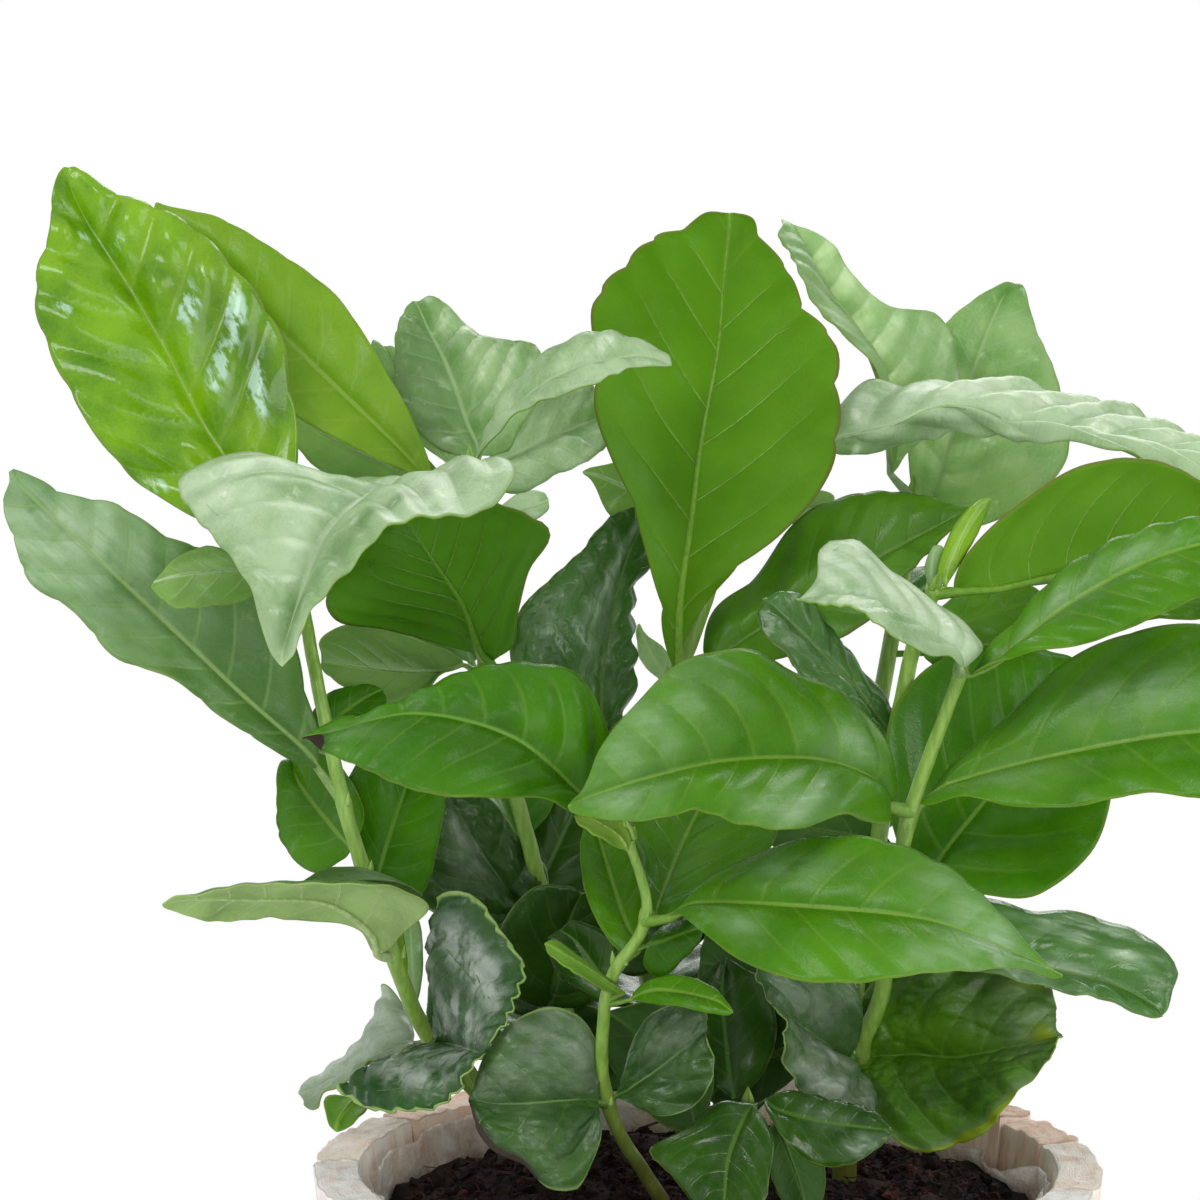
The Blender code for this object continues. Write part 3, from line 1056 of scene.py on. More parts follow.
    def side_vein(self, root: float, side: int, stout: float) -> Tube:
        """One side vein, from the midrib towards the margin.

        Args:
            root: the share of the midrib's length where it starts.
            side: -1 for the left half, 1 for the right.
            stout: how stout the leaf's veins are.

        Returns:
            (points, radii).
        """
        reach = np.linspace(0.0, self.VEIN_REACH, self.VEIN_POINTS)
        place = np.full(self.VEIN_POINTS, root)
        for _ in range(4):
            out = reach * self.half(self.station(place), np.full(self.VEIN_POINTS, side))
            place = np.clip(root + self.lead(out) / self.length, 0, 0.97)
        thin = np.interp(reach, [0, self.VEIN_REACH], self.VEIN_RADII) * stout
        return self.sheet(self.station(place), side * reach, lift=-0.8 * thin), thin

    def vein_paths(self) -> list[Tube]:
        """The stalk and midrib, and the side veins, as paths just under the blade.

        Returns:
            (points, radii) of each.
        """
        leaf = self.leaf
        stout = float(np.clip(self.widest / self.STOUT_HALF_WIDTH, *self.STOUT_LIMITS))
        u = np.linspace(0, self.MIDRIB_END, self.MIDRIB_POINTS)
        radius = np.interp(self.share(u), self.MIDRIB_PLACES, self.MIDRIB_RADII) * stout
        points = self.sheet(u, 0 * u, lift=-0.75 * radius)
        if leaf.stalk:
            bend = np.vstack([self.joint, points[0], points[self.STALK_STEPS]])
            stalk = smooth_path(bend, self.STALK_STEPS)[: self.STALK_STEPS]
            points = np.vstack([stalk, points])
            thick = self.STALK_WIDENING * min(1.15 * stout + 0.1, self.girth)
            radius = np.concatenate([np.linspace(thick, radius[0], self.STALK_STEPS), radius])
        roots = [
            ((count - shift) / leaf.pairs, side)
            for side, shift in ((-1, 0.0), (1, self.RIGHT_SHIFT))
            for count in range(1, leaf.pairs + 1)
        ]
        first, last = self.VEIN_ROOTS
        sides = [self.side_vein(root, side, stout) for root, side in roots if first < root < last]
        return [(points, radius), *sides]


class BladeShader(Shader):
    """One face of a leaf's blade, painted in layers from its UV maps.

    sheet holds millimetres on the leaf's plane, place the shares along the midrib and the
    distance from it, veins the count of side veins and the share of the way to the margin, and
    paint the painted sheen and the painted shade of the leaf's patches, whose strongest amounts
    stand for yellowed and dried places.
    """

    YELLOWED = (0.250, 0.330, 0.012)
    DRIED = (0.036, 0.026, 0.018)
    SPOT = (0.045, 0.022, 0.010)
    THROUGH = (1.5, 1.6, 0.4)
    VEIN_DEPTH = 0.00008

    def __init__(self, finish: LeafFinish, under: bool) -> None:
        """Reads the blade's coordinates and finds its veins.

        Args:
            finish: the leaf's colours.
            under: whether it is the underside.
        """
        super().__init__(f"leaf_{finish.name}_{'under' if under else 'upper'}")
        self.finish, self.under = finish, under
        self.sheet, self.along = self.uv("sheet"), self.uv("place")
        share, across, _ = self.split(self.along)
        self.count, self.reach, _ = self.split(self.uv("veins"))
        # the patches' painted sheen and painted shade; at their strongest they turn to yellowing and to
        # dried edges
        self.sheen, self.shadow, _ = self.split(self.uv("paint"))
        nearest = self.math("PINGPONG", self.count, 0.5)
        self.side_vein = self.times(self.slope(nearest, 0.085, 0.015), self.slope(self.reach, 0.97, 0.5))
        away = self.plus(self.math("ABSOLUTE", across), self.times(share, 0.30))
        self.midrib = self.slope(away, finish.rib, 0.4 * finish.rib)
        warp = self.add("ShaderNodeTexNoise", {"Vector": self.sheet, "Scale": 0.45, "Detail": 2.0})
        drift = self.vector("SUBTRACT", warp.outputs["Color"], (0.5, 0.5, 0.5))
        bent = self.vector("ADD", self.sheet, self.scaled(drift, 1.8))
        self.net = self.slope(self.cracks(bent, 0.42), 0.10, 0.0)
        self.fine_net = self.slope(self.cracks(bent, 1.5), 0.12, 0.0)
        self.mottle = self.noise(self.sheet, 0.10 if finish.crinkle else 0.07, 5.0)
        self.grain = self.noise(self.sheet, 1.6, 3.0)

    def ground(self) -> Socket:
        """The green of the blade, deeper in blotches and where shade is painted, with its fine net.

        Returns:
            The colour.
        """
        finish = self.finish
        base = finish.under if self.under else finish.face
        deep = self.mix(0.5, finish.under, finish.deep) if self.under else finish.deep
        blotch = self.slope(self.plus(self.mottle, self.times(self.grain, 0.2)), 0.42, 0.85)
        # deeper in the leaf's own blotches and in the patches' painted shade
        shade = self.math("MINIMUM", self.math("MAXIMUM", blotch, self.shadow), 1.0)
        colour = self.mix(shade, base, deep)
        # painted shade: the patches darken the green further, towards half its deep colour
        gloom = self.times(self.math("MINIMUM", self.shadow, 1.0), 0.5)
        colour = self.mix(gloom, colour, toned(finish.deep, 0.5))
        return self.mix(self.times(self.net, 0.05), colour, finish.vein)

    def painted_sheen(self) -> tuple[Socket, Socket]:
        """The painted sheen, whitish highlights and reflections laid into the colour, in bands beside the
        side veins and in drawn-out strokes.

        Returns:
            The share of sheen, and the share of yellow that the strongest patches turn to.
        """
        finish = self.finish
        cloud = self.noise(self.sheet, 0.16, 4.0, 0.6)
        turn = self.math("FRACT", self.count)
        band = self.times(self.slope(turn, 0.28, 0.62), self.slope(turn, 0.985, 0.86))
        band = self.math("MULTIPLY_ADD", band, finish.bands, 1.0 - finish.bands)
        way = self.along if finish.swept else self.sheet
        brushed = self.slope(self.noise(self.stretch(way, finish.brush), 1.0, 5.0, 0.65), 0.40, 0.58)
        strokes = self.math("MULTIPLY_ADD", brushed, finish.streaks, 1.0 - finish.streaks)
        patch = self.slope(cloud, 0.58, 0.74, 0.0, finish.cloud_sheen)
        touch = self.plus(patch, self.math("MINIMUM", self.sheen, 1.0))
        touch = self.times(touch, strokes, self.times(band, self.slope(cloud, 0.30, 0.52, 0.35, 1.0)))
        touch = self.slope(touch, 0.20, 0.56) if finish.crisp else touch
        yellow = self.slope(self.plus(self.sheen, self.times(self.mottle, 0.8)), 1.35, 2.0)
        return self.times(touch, self.math("SUBTRACT", 1.0, yellow)), yellow

    def painted(self) -> tuple[Socket, Socket]:
        """All the layers of colour.

        Returns:
            The colour, and where the leaf is dried.
        """
        finish = self.finish
        touch, yellow = self.painted_sheen()
        vein = self.math("MAXIMUM", self.midrib, self.times(self.side_vein, finish.lines))
        rim = self.times(self.slope(self.reach, 0.965, 0.99), finish.margin)
        ragged = self.times(self.noise(self.sheet, 0.9, 4.0), 0.5)
        dried = self.slope(self.plus(self.shadow, ragged), 1.35, 1.6)
        layers = [
            (self.times(yellow, 0.85), self.YELLOWED),
            # painted sheen: whitish highlights and reflections laid into the colour, fainter on the
            # underside
            (self.times(touch, 0.35 if self.under else 0.9), finish.painted_sheen),
            (self.times(vein, 0.85), finish.vein),
            (rim, finish.edge),
            (dried, self.DRIED),
        ]
        if finish.spots:
            speck = self.slope(self.noise(self.sheet, 0.55, 5.0, 0.7), 0.70, 0.76)
            layers.append((self.times(speck, finish.spots), self.SPOT))
        colour = self.ground()
        for amount, paint in layers:
            colour = self.mix(amount, colour, paint)
        return colour, dried

    def build(self) -> Material:
        """Gives the painted blade its relief, its gloss and the light that passes through it.

        Returns:
            The material.
        """
        finish = self.finish
        colour, dried = self.painted()
        height = self.plus(self.times(self.net, -0.22), self.times(self.fine_net, -0.10))
        height = self.plus(height, self.times(self.side_vein, -0.9))
        normal = self.bump(height, -self.VEIN_DEPTH if self.under else self.VEIN_DEPTH, 0.8)
        rough = self.slope(self.grain, 0.3, 0.8, finish.rough * 0.85, finish.rough * 1.25)
        rough = 0.50 if self.under else self.math("MAXIMUM", rough, self.times(dried, 0.8))
        gloss = {"Specular_IOR_Level": 0.24 if self.under else finish.gloss}
        gloss |= {"Coat_Weight": 0.0 if self.under else finish.coat, "Coat_Roughness": 0.12}
        body = self.body(colour, rough, normal, IOR=1.45, **gloss)
        through = self.mix(0.75, colour, self.THROUGH, "MULTIPLY")
        behind = self.add("ShaderNodeBsdfTranslucent", {"Color": through, "Normal": normal})
        return self.close(self.blend(finish.glow, body, behind))


class LeafFinisher:
    """Makes the materials of a leaf finish once and keeps them."""

    def __init__(self) -> None:
        """Starts with none made."""
        self.made: dict[Look, tuple[Material, ...]] = {}

    def materials(self, look: Look) -> tuple[Material, ...]:
        """The upper face's, underside's and veins' materials.

        Args:
            look: the finish.

        Returns:
            The three materials.
        """
        if look not in self.made:
            finish = look.value
            faces = [BladeShader(finish, under).build() for under in (False, True)]
            self.made[look] = (*faces, self.veins(finish))
        return self.made[look]

    @staticmethod
    def veins(finish: LeafFinish) -> Material:
        """The stalk and the raised veins.

        Args:
            finish: the leaf's colours.

        Returns:
            The material.
        """
        g = Shader(f"leaf_{finish.name}_veins")
        streak = g.noise(g.place(), 900.0, 4.0)
        pale = tuple(0.45 * a + 0.55 * b for a, b in zip(finish.vein, finish.under))
        colour = g.mix(g.slope(streak, 0.35, 0.7), pale, toned(pale, 0.72))
        body = g.body(colour, 0.38, g.bump(streak, 0.0001), IOR=1.45)
        behind = g.add("ShaderNodeBsdfTranslucent", {"Color": colour})
        return g.close(g.blend(0.15, body, behind))


# ---------------------------------------------------------------------------------------------
# Stems
# ---------------------------------------------------------------------------------------------


class StemBuilder:
    """Builds a stem: a tube that swells at each leaf pair, with scales there and a bud on top."""

    SIDES = 16
    STEPS = 14
    SWELL, SWELL_REACH = 0.16, 1.9
    FLARE, FLARE_REACH = 0.25, 3.0
    WANDER = 0.12
    BURIED = 3.0
    NODE_GAP = 3.5
    SIZE = 0.75
    SCALE_RISE, SCALE_POINTS = 3.2, 6
    SCALE_PLACES, SCALE_RADII = (0, 0.4, 1), (0.9, 0.75, 0.08)
    SCALE_REST, SCALE_SPREAD = 1.02, 0.25
    BUD_RISE, BUD_POINTS = 6.5, 8
    BUD_PLACES, BUD_RADII = (0, 0.35, 1), (0.85, 1.0, 0.08)
    BUD_SPREAD = 0.55
    JOINT_TURN = 0.7

    def __init__(self, stem: Stem, leaves: Sequence[Leaf]) -> None:
        """Finds the heights of the stem's joints.

        Args:
            stem: the stem.
            leaves: every leaf of the plant.
        """
        self.stem = stem
        heights = sorted({leaf.height for leaf in leaves if leaf.stem == stem.name and not leaf.extra})
        self.nodes = [h for i, h in enumerate(heights) if i == 0 or h - heights[i - 1] > self.NODE_GAP]

    def tube(self) -> Tube:
        """The stem's path and radii, with its joints swollen and its foot flared.

        Returns:
            (points, radii).
        """
        path = self.stem.path(self.STEPS)
        height = path[:, 2]
        share = np.linspace(0, 1, len(path))
        radius = self.stem.foot + (self.stem.top - self.stem.foot) * share
        swell = np.zeros(len(path))
        for node in self.nodes:
            swell = np.maximum(swell, np.exp(-(((height - node) / self.SWELL_REACH) ** 2)))
        foot = np.exp(-((height - height[0]) / self.FLARE_REACH))
        radius = radius * (1 + self.SWELL * swell + self.FLARE * foot)
        aside = [ripple(3, height / 14), ripple(4, height / 14), 0 * share]
        path = path + self.WANDER * np.stack(aside, -1)
        path[0, 2] -= self.BURIED
        return path, radius

    def scales(self) -> list[Tube]:
        """Small pointed scales between the stalks at each joint, and the bud at the top.

        Returns:
            (points, radii) of each.
        """
        paths = []
        rise = np.array([0, 0, self.SCALE_RISE * self.SIZE])
        steps = np.linspace(0, 1, self.SCALE_POINTS)[:, None]
        radius = np.interp(steps[:, 0], self.SCALE_PLACES, self.SCALE_RADII) * self.SIZE
        for height in self.nodes:
            point, girth = self.stem.at(height)
            rest = self.SCALE_REST + self.SCALE_SPREAD * steps
            pair = self.pair(height * self.JOINT_TURN)
            paths += [(point + out * girth * rest + rise * steps, radius) for out in pair]
        path = self.stem.path(self.STEPS)
        way = (path[-1] - path[-4]) / np.linalg.norm(path[-1] - path[-4])
        steps = np.linspace(0, 1, self.BUD_POINTS)[:, None]
        radius = np.interp(steps[:, 0], self.BUD_PLACES, self.BUD_RADII) * self.SIZE
        tip = path[-1] + way * self.BUD_RISE * self.SIZE * steps
        paths += [(tip + out * (self.BUD_SPREAD * (1 - steps**2)), radius) for out in self.pair(0.0)]
        return paths

    @staticmethod
    def pair(turn: float) -> list[np.ndarray]:
        """The two level directions at an angle in radians and opposite it."""
        return [np.array([math.cos(a), math.sin(a), 0.0]) for a in (0.0 + turn, math.pi + turn)]


@dataclass(frozen=True)
class StemFinish:
    """Colours of a stem: its green skin, paler streaks, the olive bark of its foot and pale spots."""

    skin: Colour = (0.150, 0.290, 0.035)
    streak: Colour = (0.240, 0.400, 0.070)
    bark: Colour = (0.105, 0.105, 0.018)
    lichen: Colour = (0.340, 0.420, 0.120)
    bark_from: float = 0.160
    bark_full: float = 0.120

    def material(self) -> Material:
        """The stem's material.

        Returns:
            The material.
        """
        g = Shader("stem_skin")
        place = g.place()
        lines = g.noise(g.stretch(place, (900.0, 900.0, 90.0)), 1.0, 4.0)
        patch = g.noise(place, 110.0, 4.0)
        _, _, height = g.split(place)
        old = g.times(g.slope(height, self.bark_from, self.bark_full), g.slope(patch, 0.20, 0.55))
        colour = g.mix(g.slope(lines, 0.35, 0.70), self.skin, self.streak)
        colour = g.mix(g.times(old, 0.92), colour, self.bark)
        colour = g.mix(g.times(g.slope(patch, 0.6, 0.8), 0.4), colour, self.lichen)
        normal = g.bump(g.plus(lines, patch), 0.00018, 0.8)
        return g.close(g.body(colour, 0.42, normal, IOR=1.45, Coat_Weight=0.1))


# ---------------------------------------------------------------------------------------------
# Pot
# ---------------------------------------------------------------------------------------------


class WoodTone(Enum):
    """Tones of the staves: (wood, dark grain, wash)."""

    CREAM = ((0.850, 0.680, 0.550), (0.600, 0.430, 0.310), (0.910, 0.850, 0.780))
    TAN = ((0.800, 0.510, 0.380), (0.520, 0.310, 0.215), (0.890, 0.720, 0.610))
    GREY = ((0.780, 0.700, 0.640), (0.480, 0.400, 0.350), (0.900, 0.880, 0.860))


@dataclass(frozen=True)
class StaveFinish:
    """Washed softwood: long grain on the sides, rings and rough sawing on the ends."""

    tone: WoodTone
    knot: Colour = (0.22, 0.12, 0.07)
    stain: Colour = (0.52, 0.33, 0.25)

    def sides(self, g: Shader, grain: Socket) -> tuple[Socket, Socket]:
        """The long grain, with bands, fibres and knots under a patchy wash.

        Args:
            g: the material.
            grain: its coordinates, in millimetres.

        Returns:
            The colour and the height.
        """
        wood, dark, wash = self.tone.value
        streaks = g.noise(g.stretch(grain, (0.55, 0.030, 1.0)), 1.0, 6.0, 0.65)
        fibres = g.noise(g.stretch(grain, (3.2, 0.10, 1.0)), 1.0, 4.0, 0.6)
        waves = {"Vector": g.stretch(grain, (0.10, 0.004, 1.0)), "Scale": 1.0}
        waves |= {"Distortion": 5.0, "Detail": 3.0}
        bands = g.add("ShaderNodeTexWave", waves).outputs["Fac"]
        knots = {"Vector": g.stretch(grain, (0.035, 0.016, 1.0)), "Scale": 1.0}
        knot = g.slope(g.add("ShaderNodeTexVoronoi", knots).outputs["Distance"], 0.10, 0.03)
        painted = g.slope(g.noise(g.stretch(grain, (0.16, 0.045, 1.0)), 1.0, 7.0, 0.7), 0.40, 0.56)
        colour = g.mix(g.slope(streaks, 0.38, 0.72, 0.0, 0.6), wood, dark)
        for amount, paint in (
            (g.times(g.slope(bands, 0.72, 1.0), 0.25), dark),
            (g.times(g.slope(fibres, 0.5, 0.75), 0.25), dark),
            (g.times(knot, 0.8), self.knot),
            (g.times(painted, 0.78), wash),
        ):
            colour = g.mix(amount, colour, paint)
        height = g.plus(g.times(fibres, 0.5), streaks)
        return colour, g.math("SUBTRACT", height, g.times(knot, 0.3))

    def sawn(self, g: Shader, grain: Socket, pores: Socket) -> tuple[Socket, Socket]:
        """The sawn end: faint growth rings under a blotched wash.

        Args:
            g: the material.
            grain: its coordinates, in millimetres.
            pores: the level of its pores.

        Returns:
            The colour and the height.
        """
        wood, dark, wash = self.tone.value
        rings_at = g.stretch(grain, (0.9, 0.9, 1.0), (30.0, 11.0, 0.0))
        inputs = {"Vector": rings_at, "Scale": 0.11, "Distortion": 7.0, "Detail": 4.0, "Detail Scale": 0.6}
        rings = g.add("ShaderNodeTexWave", inputs, wave_type="RINGS").outputs["Fac"]
        saw = g.noise(g.stretch(grain, (0.35, 2.6, 1.0)), 1.0, 3.0)
        colour = g.mix(g.slope(rings, 0.55, 0.95, 0.0, 0.45), wood, dark)
        colour = g.mix(g.slope(g.noise(grain, 0.20, 6.0, 0.7), 0.42, 0.60, 0.10, 0.85), colour, wash)
        colour = g.mix(g.slope(g.noise(grain, 0.09, 3.0), 0.52, 0.72, 0.0, 0.55), colour, self.stain)
        colour = g.mix(g.slope(pores, 0.58, 0.75, 0.0, 0.6), colour, dark)
        return colour, g.plus(pores, g.times(saw, 0.8))

    def material(self) -> Material:
        """The wood of a stave.

        Returns:
            The material.
        """
        g = Shader(f"stave_{self.tone.name.lower()}")
        grain = g.uv("grain")
        end, edge, _ = g.split(g.uv("zone"))
        pores = g.noise(grain, 2.2, 5.0, 0.7)
        side, relief = self.sides(g, grain)
        sawn, rough_end = self.sawn(g, grain, pores)
        worn = g.times(edge, g.slope(pores, 0.35, 0.6), 0.55)
        colour = g.mix(worn, g.mix(end, side, sawn), toned(self.tone.value[2], 1.12))
        height = g.plus(relief, g.times(rough_end, end, 1.4))
        return g.close(g.body(colour, 0.78, g.bump(height, 0.0005, 0.8)))


@dataclass(frozen=True)
class Stave:
    """One stave of the pot, between two directions measured from +X towards +Y.

    A SAWN_WAVES row is (height, size across, size along the stave) and a WORN_WAVES row is
    (height, size) of the unevenness of the outside and of the top.
    """

    SAWN_WAVES = ((0.22, 4, 60), (0.05, 1.6, 30))
    WORN_WAVES = ((0.3, 5), (0.12, 1.5))
    WORN_REACH, WORN_MOST = 3, 0.3
    SAWN_DEPTH = 1.5
    ROUND_STEPS, LEAST_ROUND = 6, 0.25
    CAP_INSETS = (4.4, 2.6)
    END_ROOM, MIDDLE_ROWS = 4, 30
    GRAIN_SHIFT = 53.0
    GRAIN_LEANS = (1.1, 0.8)
    RIM_BAND = (0.6, 1.6)

    number: int
    start: float
    end: float
    outer_round: float = 2.4
    inner_round: float = 0.9
    end_round: float = 0.7
    spacing: float = 1.6
    sawing: float = 0.25
    sharp_angle: float = 50.0

    def section(self, radius: float, inset: float) -> np.ndarray:
        """The stave's cross-section as (distance round the pot, depth from its outside).

        Args:
            radius: the pot's outer radius at this height.
            inset: how far the outline is drawn in.

        Returns:
            The outline's points, going round.
        """
        width = math.radians(self.end - self.start) * radius - Pot.STAVE_JOINT - 2 * inset
        depth = Pot.STAVE_THICKNESS - 2 * inset
        outline = []
        corners = (
            (-width / 2, 0.0, self.outer_round, 180.0),
            (width / 2, 0.0, self.outer_round, 270.0),
            (width / 2, depth, self.inner_round, 0.0),
            (-width / 2, depth, self.inner_round, 90.0),
        )
        for x, y, size, first in corners:
            size = max(size - inset, self.LEAST_ROUND)
            centre = (x - math.copysign(size, x), y + size if y == 0 else y - size)
            for step in range(self.ROUND_STEPS):
                angle = math.radians(first + 90 / (self.ROUND_STEPS - 1) * step)
                outline.append((centre[0] + size * math.cos(angle), centre[1] + size * math.sin(angle)))
        filled = []
        for a, b in zip(outline, outline[1:] + outline[:1]):
            count = max(1, round(math.dist(a, b) / self.spacing))
            filled += [tuple(np.add(a, np.subtract(b, a) * i / count)) for i in range(count)]
        return np.array(filled) + (0, inset)

    def rows(self) -> list[tuple[float, float]]:
        """The heights of the loft's rows, and how far each is drawn in at the rounded ends.

        Returns:
            (height, inset) from the foot to the top.
        """
        turns = np.radians(np.linspace(90, 0, 4))
        eased = [(self.end_round * (1 - math.sin(a)), self.end_round * (1 - math.cos(a))) for a in turns]
        foot = [*((0.0, inset) for inset in self.CAP_INSETS), *eased]
        heights = np.linspace(self.END_ROOM, Pot.HEIGHT - self.END_ROOM, self.MIDDLE_ROWS)
        middle = [(height, 0.0) for height in heights]
        return foot + middle + [(Pot.HEIGHT - height, inset) for height, inset in foot[::-1]]

    def roughness(self, flat: np.ndarray, height: np.ndarray) -> tuple[np.ndarray, np.ndarray]:
        """How far the sawn outside stands out, and how uneven the worn top is.

        Args:
            flat: each point's place on its cross-section.
            height: its height.

        Returns:
            The two shifts.
        """
        across, depth = flat[..., 0], flat[..., 1]
        rough = sum(
            amount * ripple(self.number + 40 * count, across / wide, depth / wide, height / long, waves=9)
            for count, (amount, wide, long) in enumerate(self.SAWN_WAVES)
        )
        worn = sum(
            amount * ripple(self.number + 80 + 10 * count, across / wide, depth / wide)
            for count, (amount, wide) in enumerate(self.WORN_WAVES)
        )
        crown = np.clip((height - Pot.HEIGHT + self.WORN_REACH) / self.WORN_REACH, 0, 1)
        rise = np.minimum(worn, self.WORN_MOST) + Pot.RISES.get(self.number, 0.0)
        return np.where(depth < self.SAWN_DEPTH, rough - self.sawing, 0.0), crown * rise

    def build(self) -> Mesh:
        """Lofts the stave and roughens it.

        Returns:
            The mesh.
        """
        rows = self.rows()
        count = len(self.section(Pot.RIM_RADIUS, 0.0))
        middle = math.radians((self.start + self.end) / 2)
        points, flat = [], []
        for height, inset in rows:
            radius = Pot.outer_radius(height)
            outline = self.resample(self.section(radius, inset), count)
            points.append(ring(radius - outline[:, 1], middle + outline[:, 0] / radius, height))
            flat.append(outline)
        points, flat = np.array(points), np.array(flat)
        on_end = np.array([[inset > self.end_round * 0.4] * count for _, inset in rows])
        height = points[..., 2].copy()
        out, rise = self.roughness(flat, height)
        angle = np.arctan2(points[..., 1], points[..., 0])
        points += ring(out, angle, rise)
        mesh = grid_mesh("stave", points[:, ::-1], wrap=True)
        self.cap(mesh, len(rows), count)
        flat, on_end, height = flat[:, ::-1], on_end[:, ::-1], points[:, ::-1, 2]
        around, up = (lean * flat[..., 1] for lean in self.GRAIN_LEANS)
        around = flat[..., 0] + self.GRAIN_SHIFT * self.number + np.where(on_end, 0, around)
        add_uv(mesh, "grain", around, np.where(on_end, flat[..., 1], height + up))
        below, reach = self.RIM_BAND
        rim = np.clip(1 - np.abs(height - Pot.HEIGHT + below) / reach, 0, 1)
        add_uv(mesh, "zone", on_end.astype(float), rim)
        return mesh

    @staticmethod
    def resample(outline: np.ndarray, count: int) -> np.ndarray:
        """An outline with a given number of points, evenly by its own order.

        Args:
            outline: the closed outline.
            count: how many points.

        Returns:
            The new outline.
        """
        closed = np.vstack([outline, outline[:1]])
        length = np.concatenate([[0], np.cumsum(np.linalg.norm(np.diff(closed, axis=0), axis=1))])
        at = np.linspace(0, length[-1], count, endpoint=False)
        return np.stack([np.interp(at, length, closed[:, axis]) for axis in range(2)], -1)

    @staticmethod
    def cap(mesh: Mesh, rows: int, count: int) -> None:
        """Closes the loft's two ends.

        Args:
            mesh: the loft.
            rows: how many rows it has.
            count: points in each row.
        """
        bm = bmesh.new()
        bm.from_mesh(mesh)
        bm.verts.ensure_lookup_table()
        bm.faces.new([bm.verts[i] for i in range(count)][::-1])
        bm.faces.new([bm.verts[(rows - 1) * count + i] for i in range(count)])
        close_faces(bm, mesh)
        mesh.set_sharp_from_angle(angle=math.radians(Stave.sharp_angle))


class FilmTree(GeometryTree):
    """Creases a film inwards, more towards its top edge."""

    def __init__(self) -> None:
        """Builds the tree."""
        super().__init__("creased_film")
        depth, crease, top = self.size("Depth"), self.size("Crease Scale"), self.size("Top")
        place = self.add("GeometryNodeInputPosition").outputs[0]
        normal = self.add("GeometryNodeInputNormal").outputs[0]
        _, _, height = self.split(place)
        share = self.slope(self.math("DIVIDE", height, top), 0.80, 1.0)
        drift = self.add("ShaderNodeTexNoise", {"Vector": place, "Scale": crease, "Detail": 2.0})
        bent = self.vector("ADD", place, self.scaled(drift.outputs["Color"], 0.012))
        large, small = (self.cracks(bent, scale) for scale in (crease, self.times(crease, 2.6)))
        fold = self.math("MULTIPLY_ADD", small, 0.55, self.times(large, 1.6))
        offset = self.scaled(normal, self.times(fold, share, depth, -1.0))
        moved = {0: self.entry.outputs[0], "Offset": offset}
        self.close(self.add("GeometryNodeSetPosition", moved).outputs[0])


@dataclass(frozen=True)
class FilmFinish:
    """Thin cloudy film with dull creases."""

    colour: Colour = (0.860, 0.830, 0.800)
    crease: Colour = (0.960, 0.950, 0.940)
    clear: Colour = (0.930, 0.900, 0.870)

    def material(self) -> Material:
        """The film's material.

        Returns:
            The material.
        """
        g = Shader("liner_film")
        place = g.place()
        crease = g.noise(place, 160.0, 6.0, 0.65)
        cloud = g.noise(place, 60.0, 4.0)
        colour = g.mix(g.slope(crease, 0.56, 0.70), self.colour, self.crease)
        normal = g.bump(crease, 0.0012, 0.8)
        body = g.body(colour, 0.30, normal, Coat_Weight=0.3, Coat_Roughness=0.15)
        behind = g.add("ShaderNodeBsdfTranslucent", {"Color": colour})
        clear = g.add("ShaderNodeBsdfTransparent", {"Color": rgba(self.clear)})
        share = g.slope(g.plus(g.times(crease, 0.6), g.times(cloud, 0.5)), 0.49, 0.72, 0.78, 0.12)
        return g.close(g.blend(share, g.blend(0.35, body, behind), clear))


class ScatterTree(GeometryTree):
    """Small things scattered over the upward faces of a surface."""

    LEAST_RISE = 0.5

    def __init__(self, name: str) -> None:
        """Starts the tree with its density and its seed.

        Args:
            name: the tree's name.
        """
        super().__init__(name)
        self.density = self.size("Density")
        self.seed = self.size("Seed", "NodeSocketInt")

    def varied(self, least: object, most: object) -> Socket:
        """A random size between two for each thing."""
        inputs = {2: least, 3: most, "Seed": self.seed}
        return self.add("FunctionNodeRandomValue", inputs, data_type="FLOAT").outputs[1]

    def scatter(self, thing: Node, lean: float, scale: Socket) -> Socket:
        """Places the thing at random on the upward faces, and makes each a body of its own.

        Args:
            thing: what is placed.
            lean: the most that it leans, in radians.
            scale: its size.

        Returns:
            The geometry.
        """
        _, _, rise = self.split(self.add("GeometryNodeInputNormal").outputs[0])
        inputs = {0: rise, 1: self.LEAST_RISE}
        upward = self.add("FunctionNodeCompare", inputs, data_type="FLOAT", operation="GREATER_THAN")
        surface = {"Mesh": self.entry.outputs[0], "Selection": upward.outputs[0]}
        surface |= {"Density": self.density, "Seed": self.seed}
        points = self.add("GeometryNodeDistributePointsOnFaces", surface).outputs[0]
        turns = {0: (-lean, -lean, -math.pi), 1: (lean, lean, math.pi), "Seed": self.seed}
        turn = self.add("FunctionNodeRandomValue", turns, data_type="FLOAT_VECTOR").outputs[0]
        inputs = {"Points": points, "Instance": thing.outputs[0], "Rotation": turn, "Scale": scale}
        placed_things = self.add("GeometryNodeInstanceOnPoints", inputs)
        return self.add("GeometryNodeRealizeInstances", {0: placed_things.outputs[0]}).outputs[0]

    def warp(self, geometry: Socket, scale: float, detail: float, depth: Socket) -> None:
        """Bends the things out of shape by a noise, and ends the tree.

        Args:
            geometry: the things.
            scale: how fine the noise is.
            detail: its octaves.
            depth: how far it moves them.
        """
        noise = self.add("ShaderNodeTexNoise", {"Scale": scale, "Detail": detail}).outputs["Color"]
        shove = self.scaled(self.vector("SUBTRACT", noise, (0.5, 0.5, 0.5)), depth)
        self.close(self.add("GeometryNodeSetPosition", {0: geometry, "Offset": shove}).outputs[0])


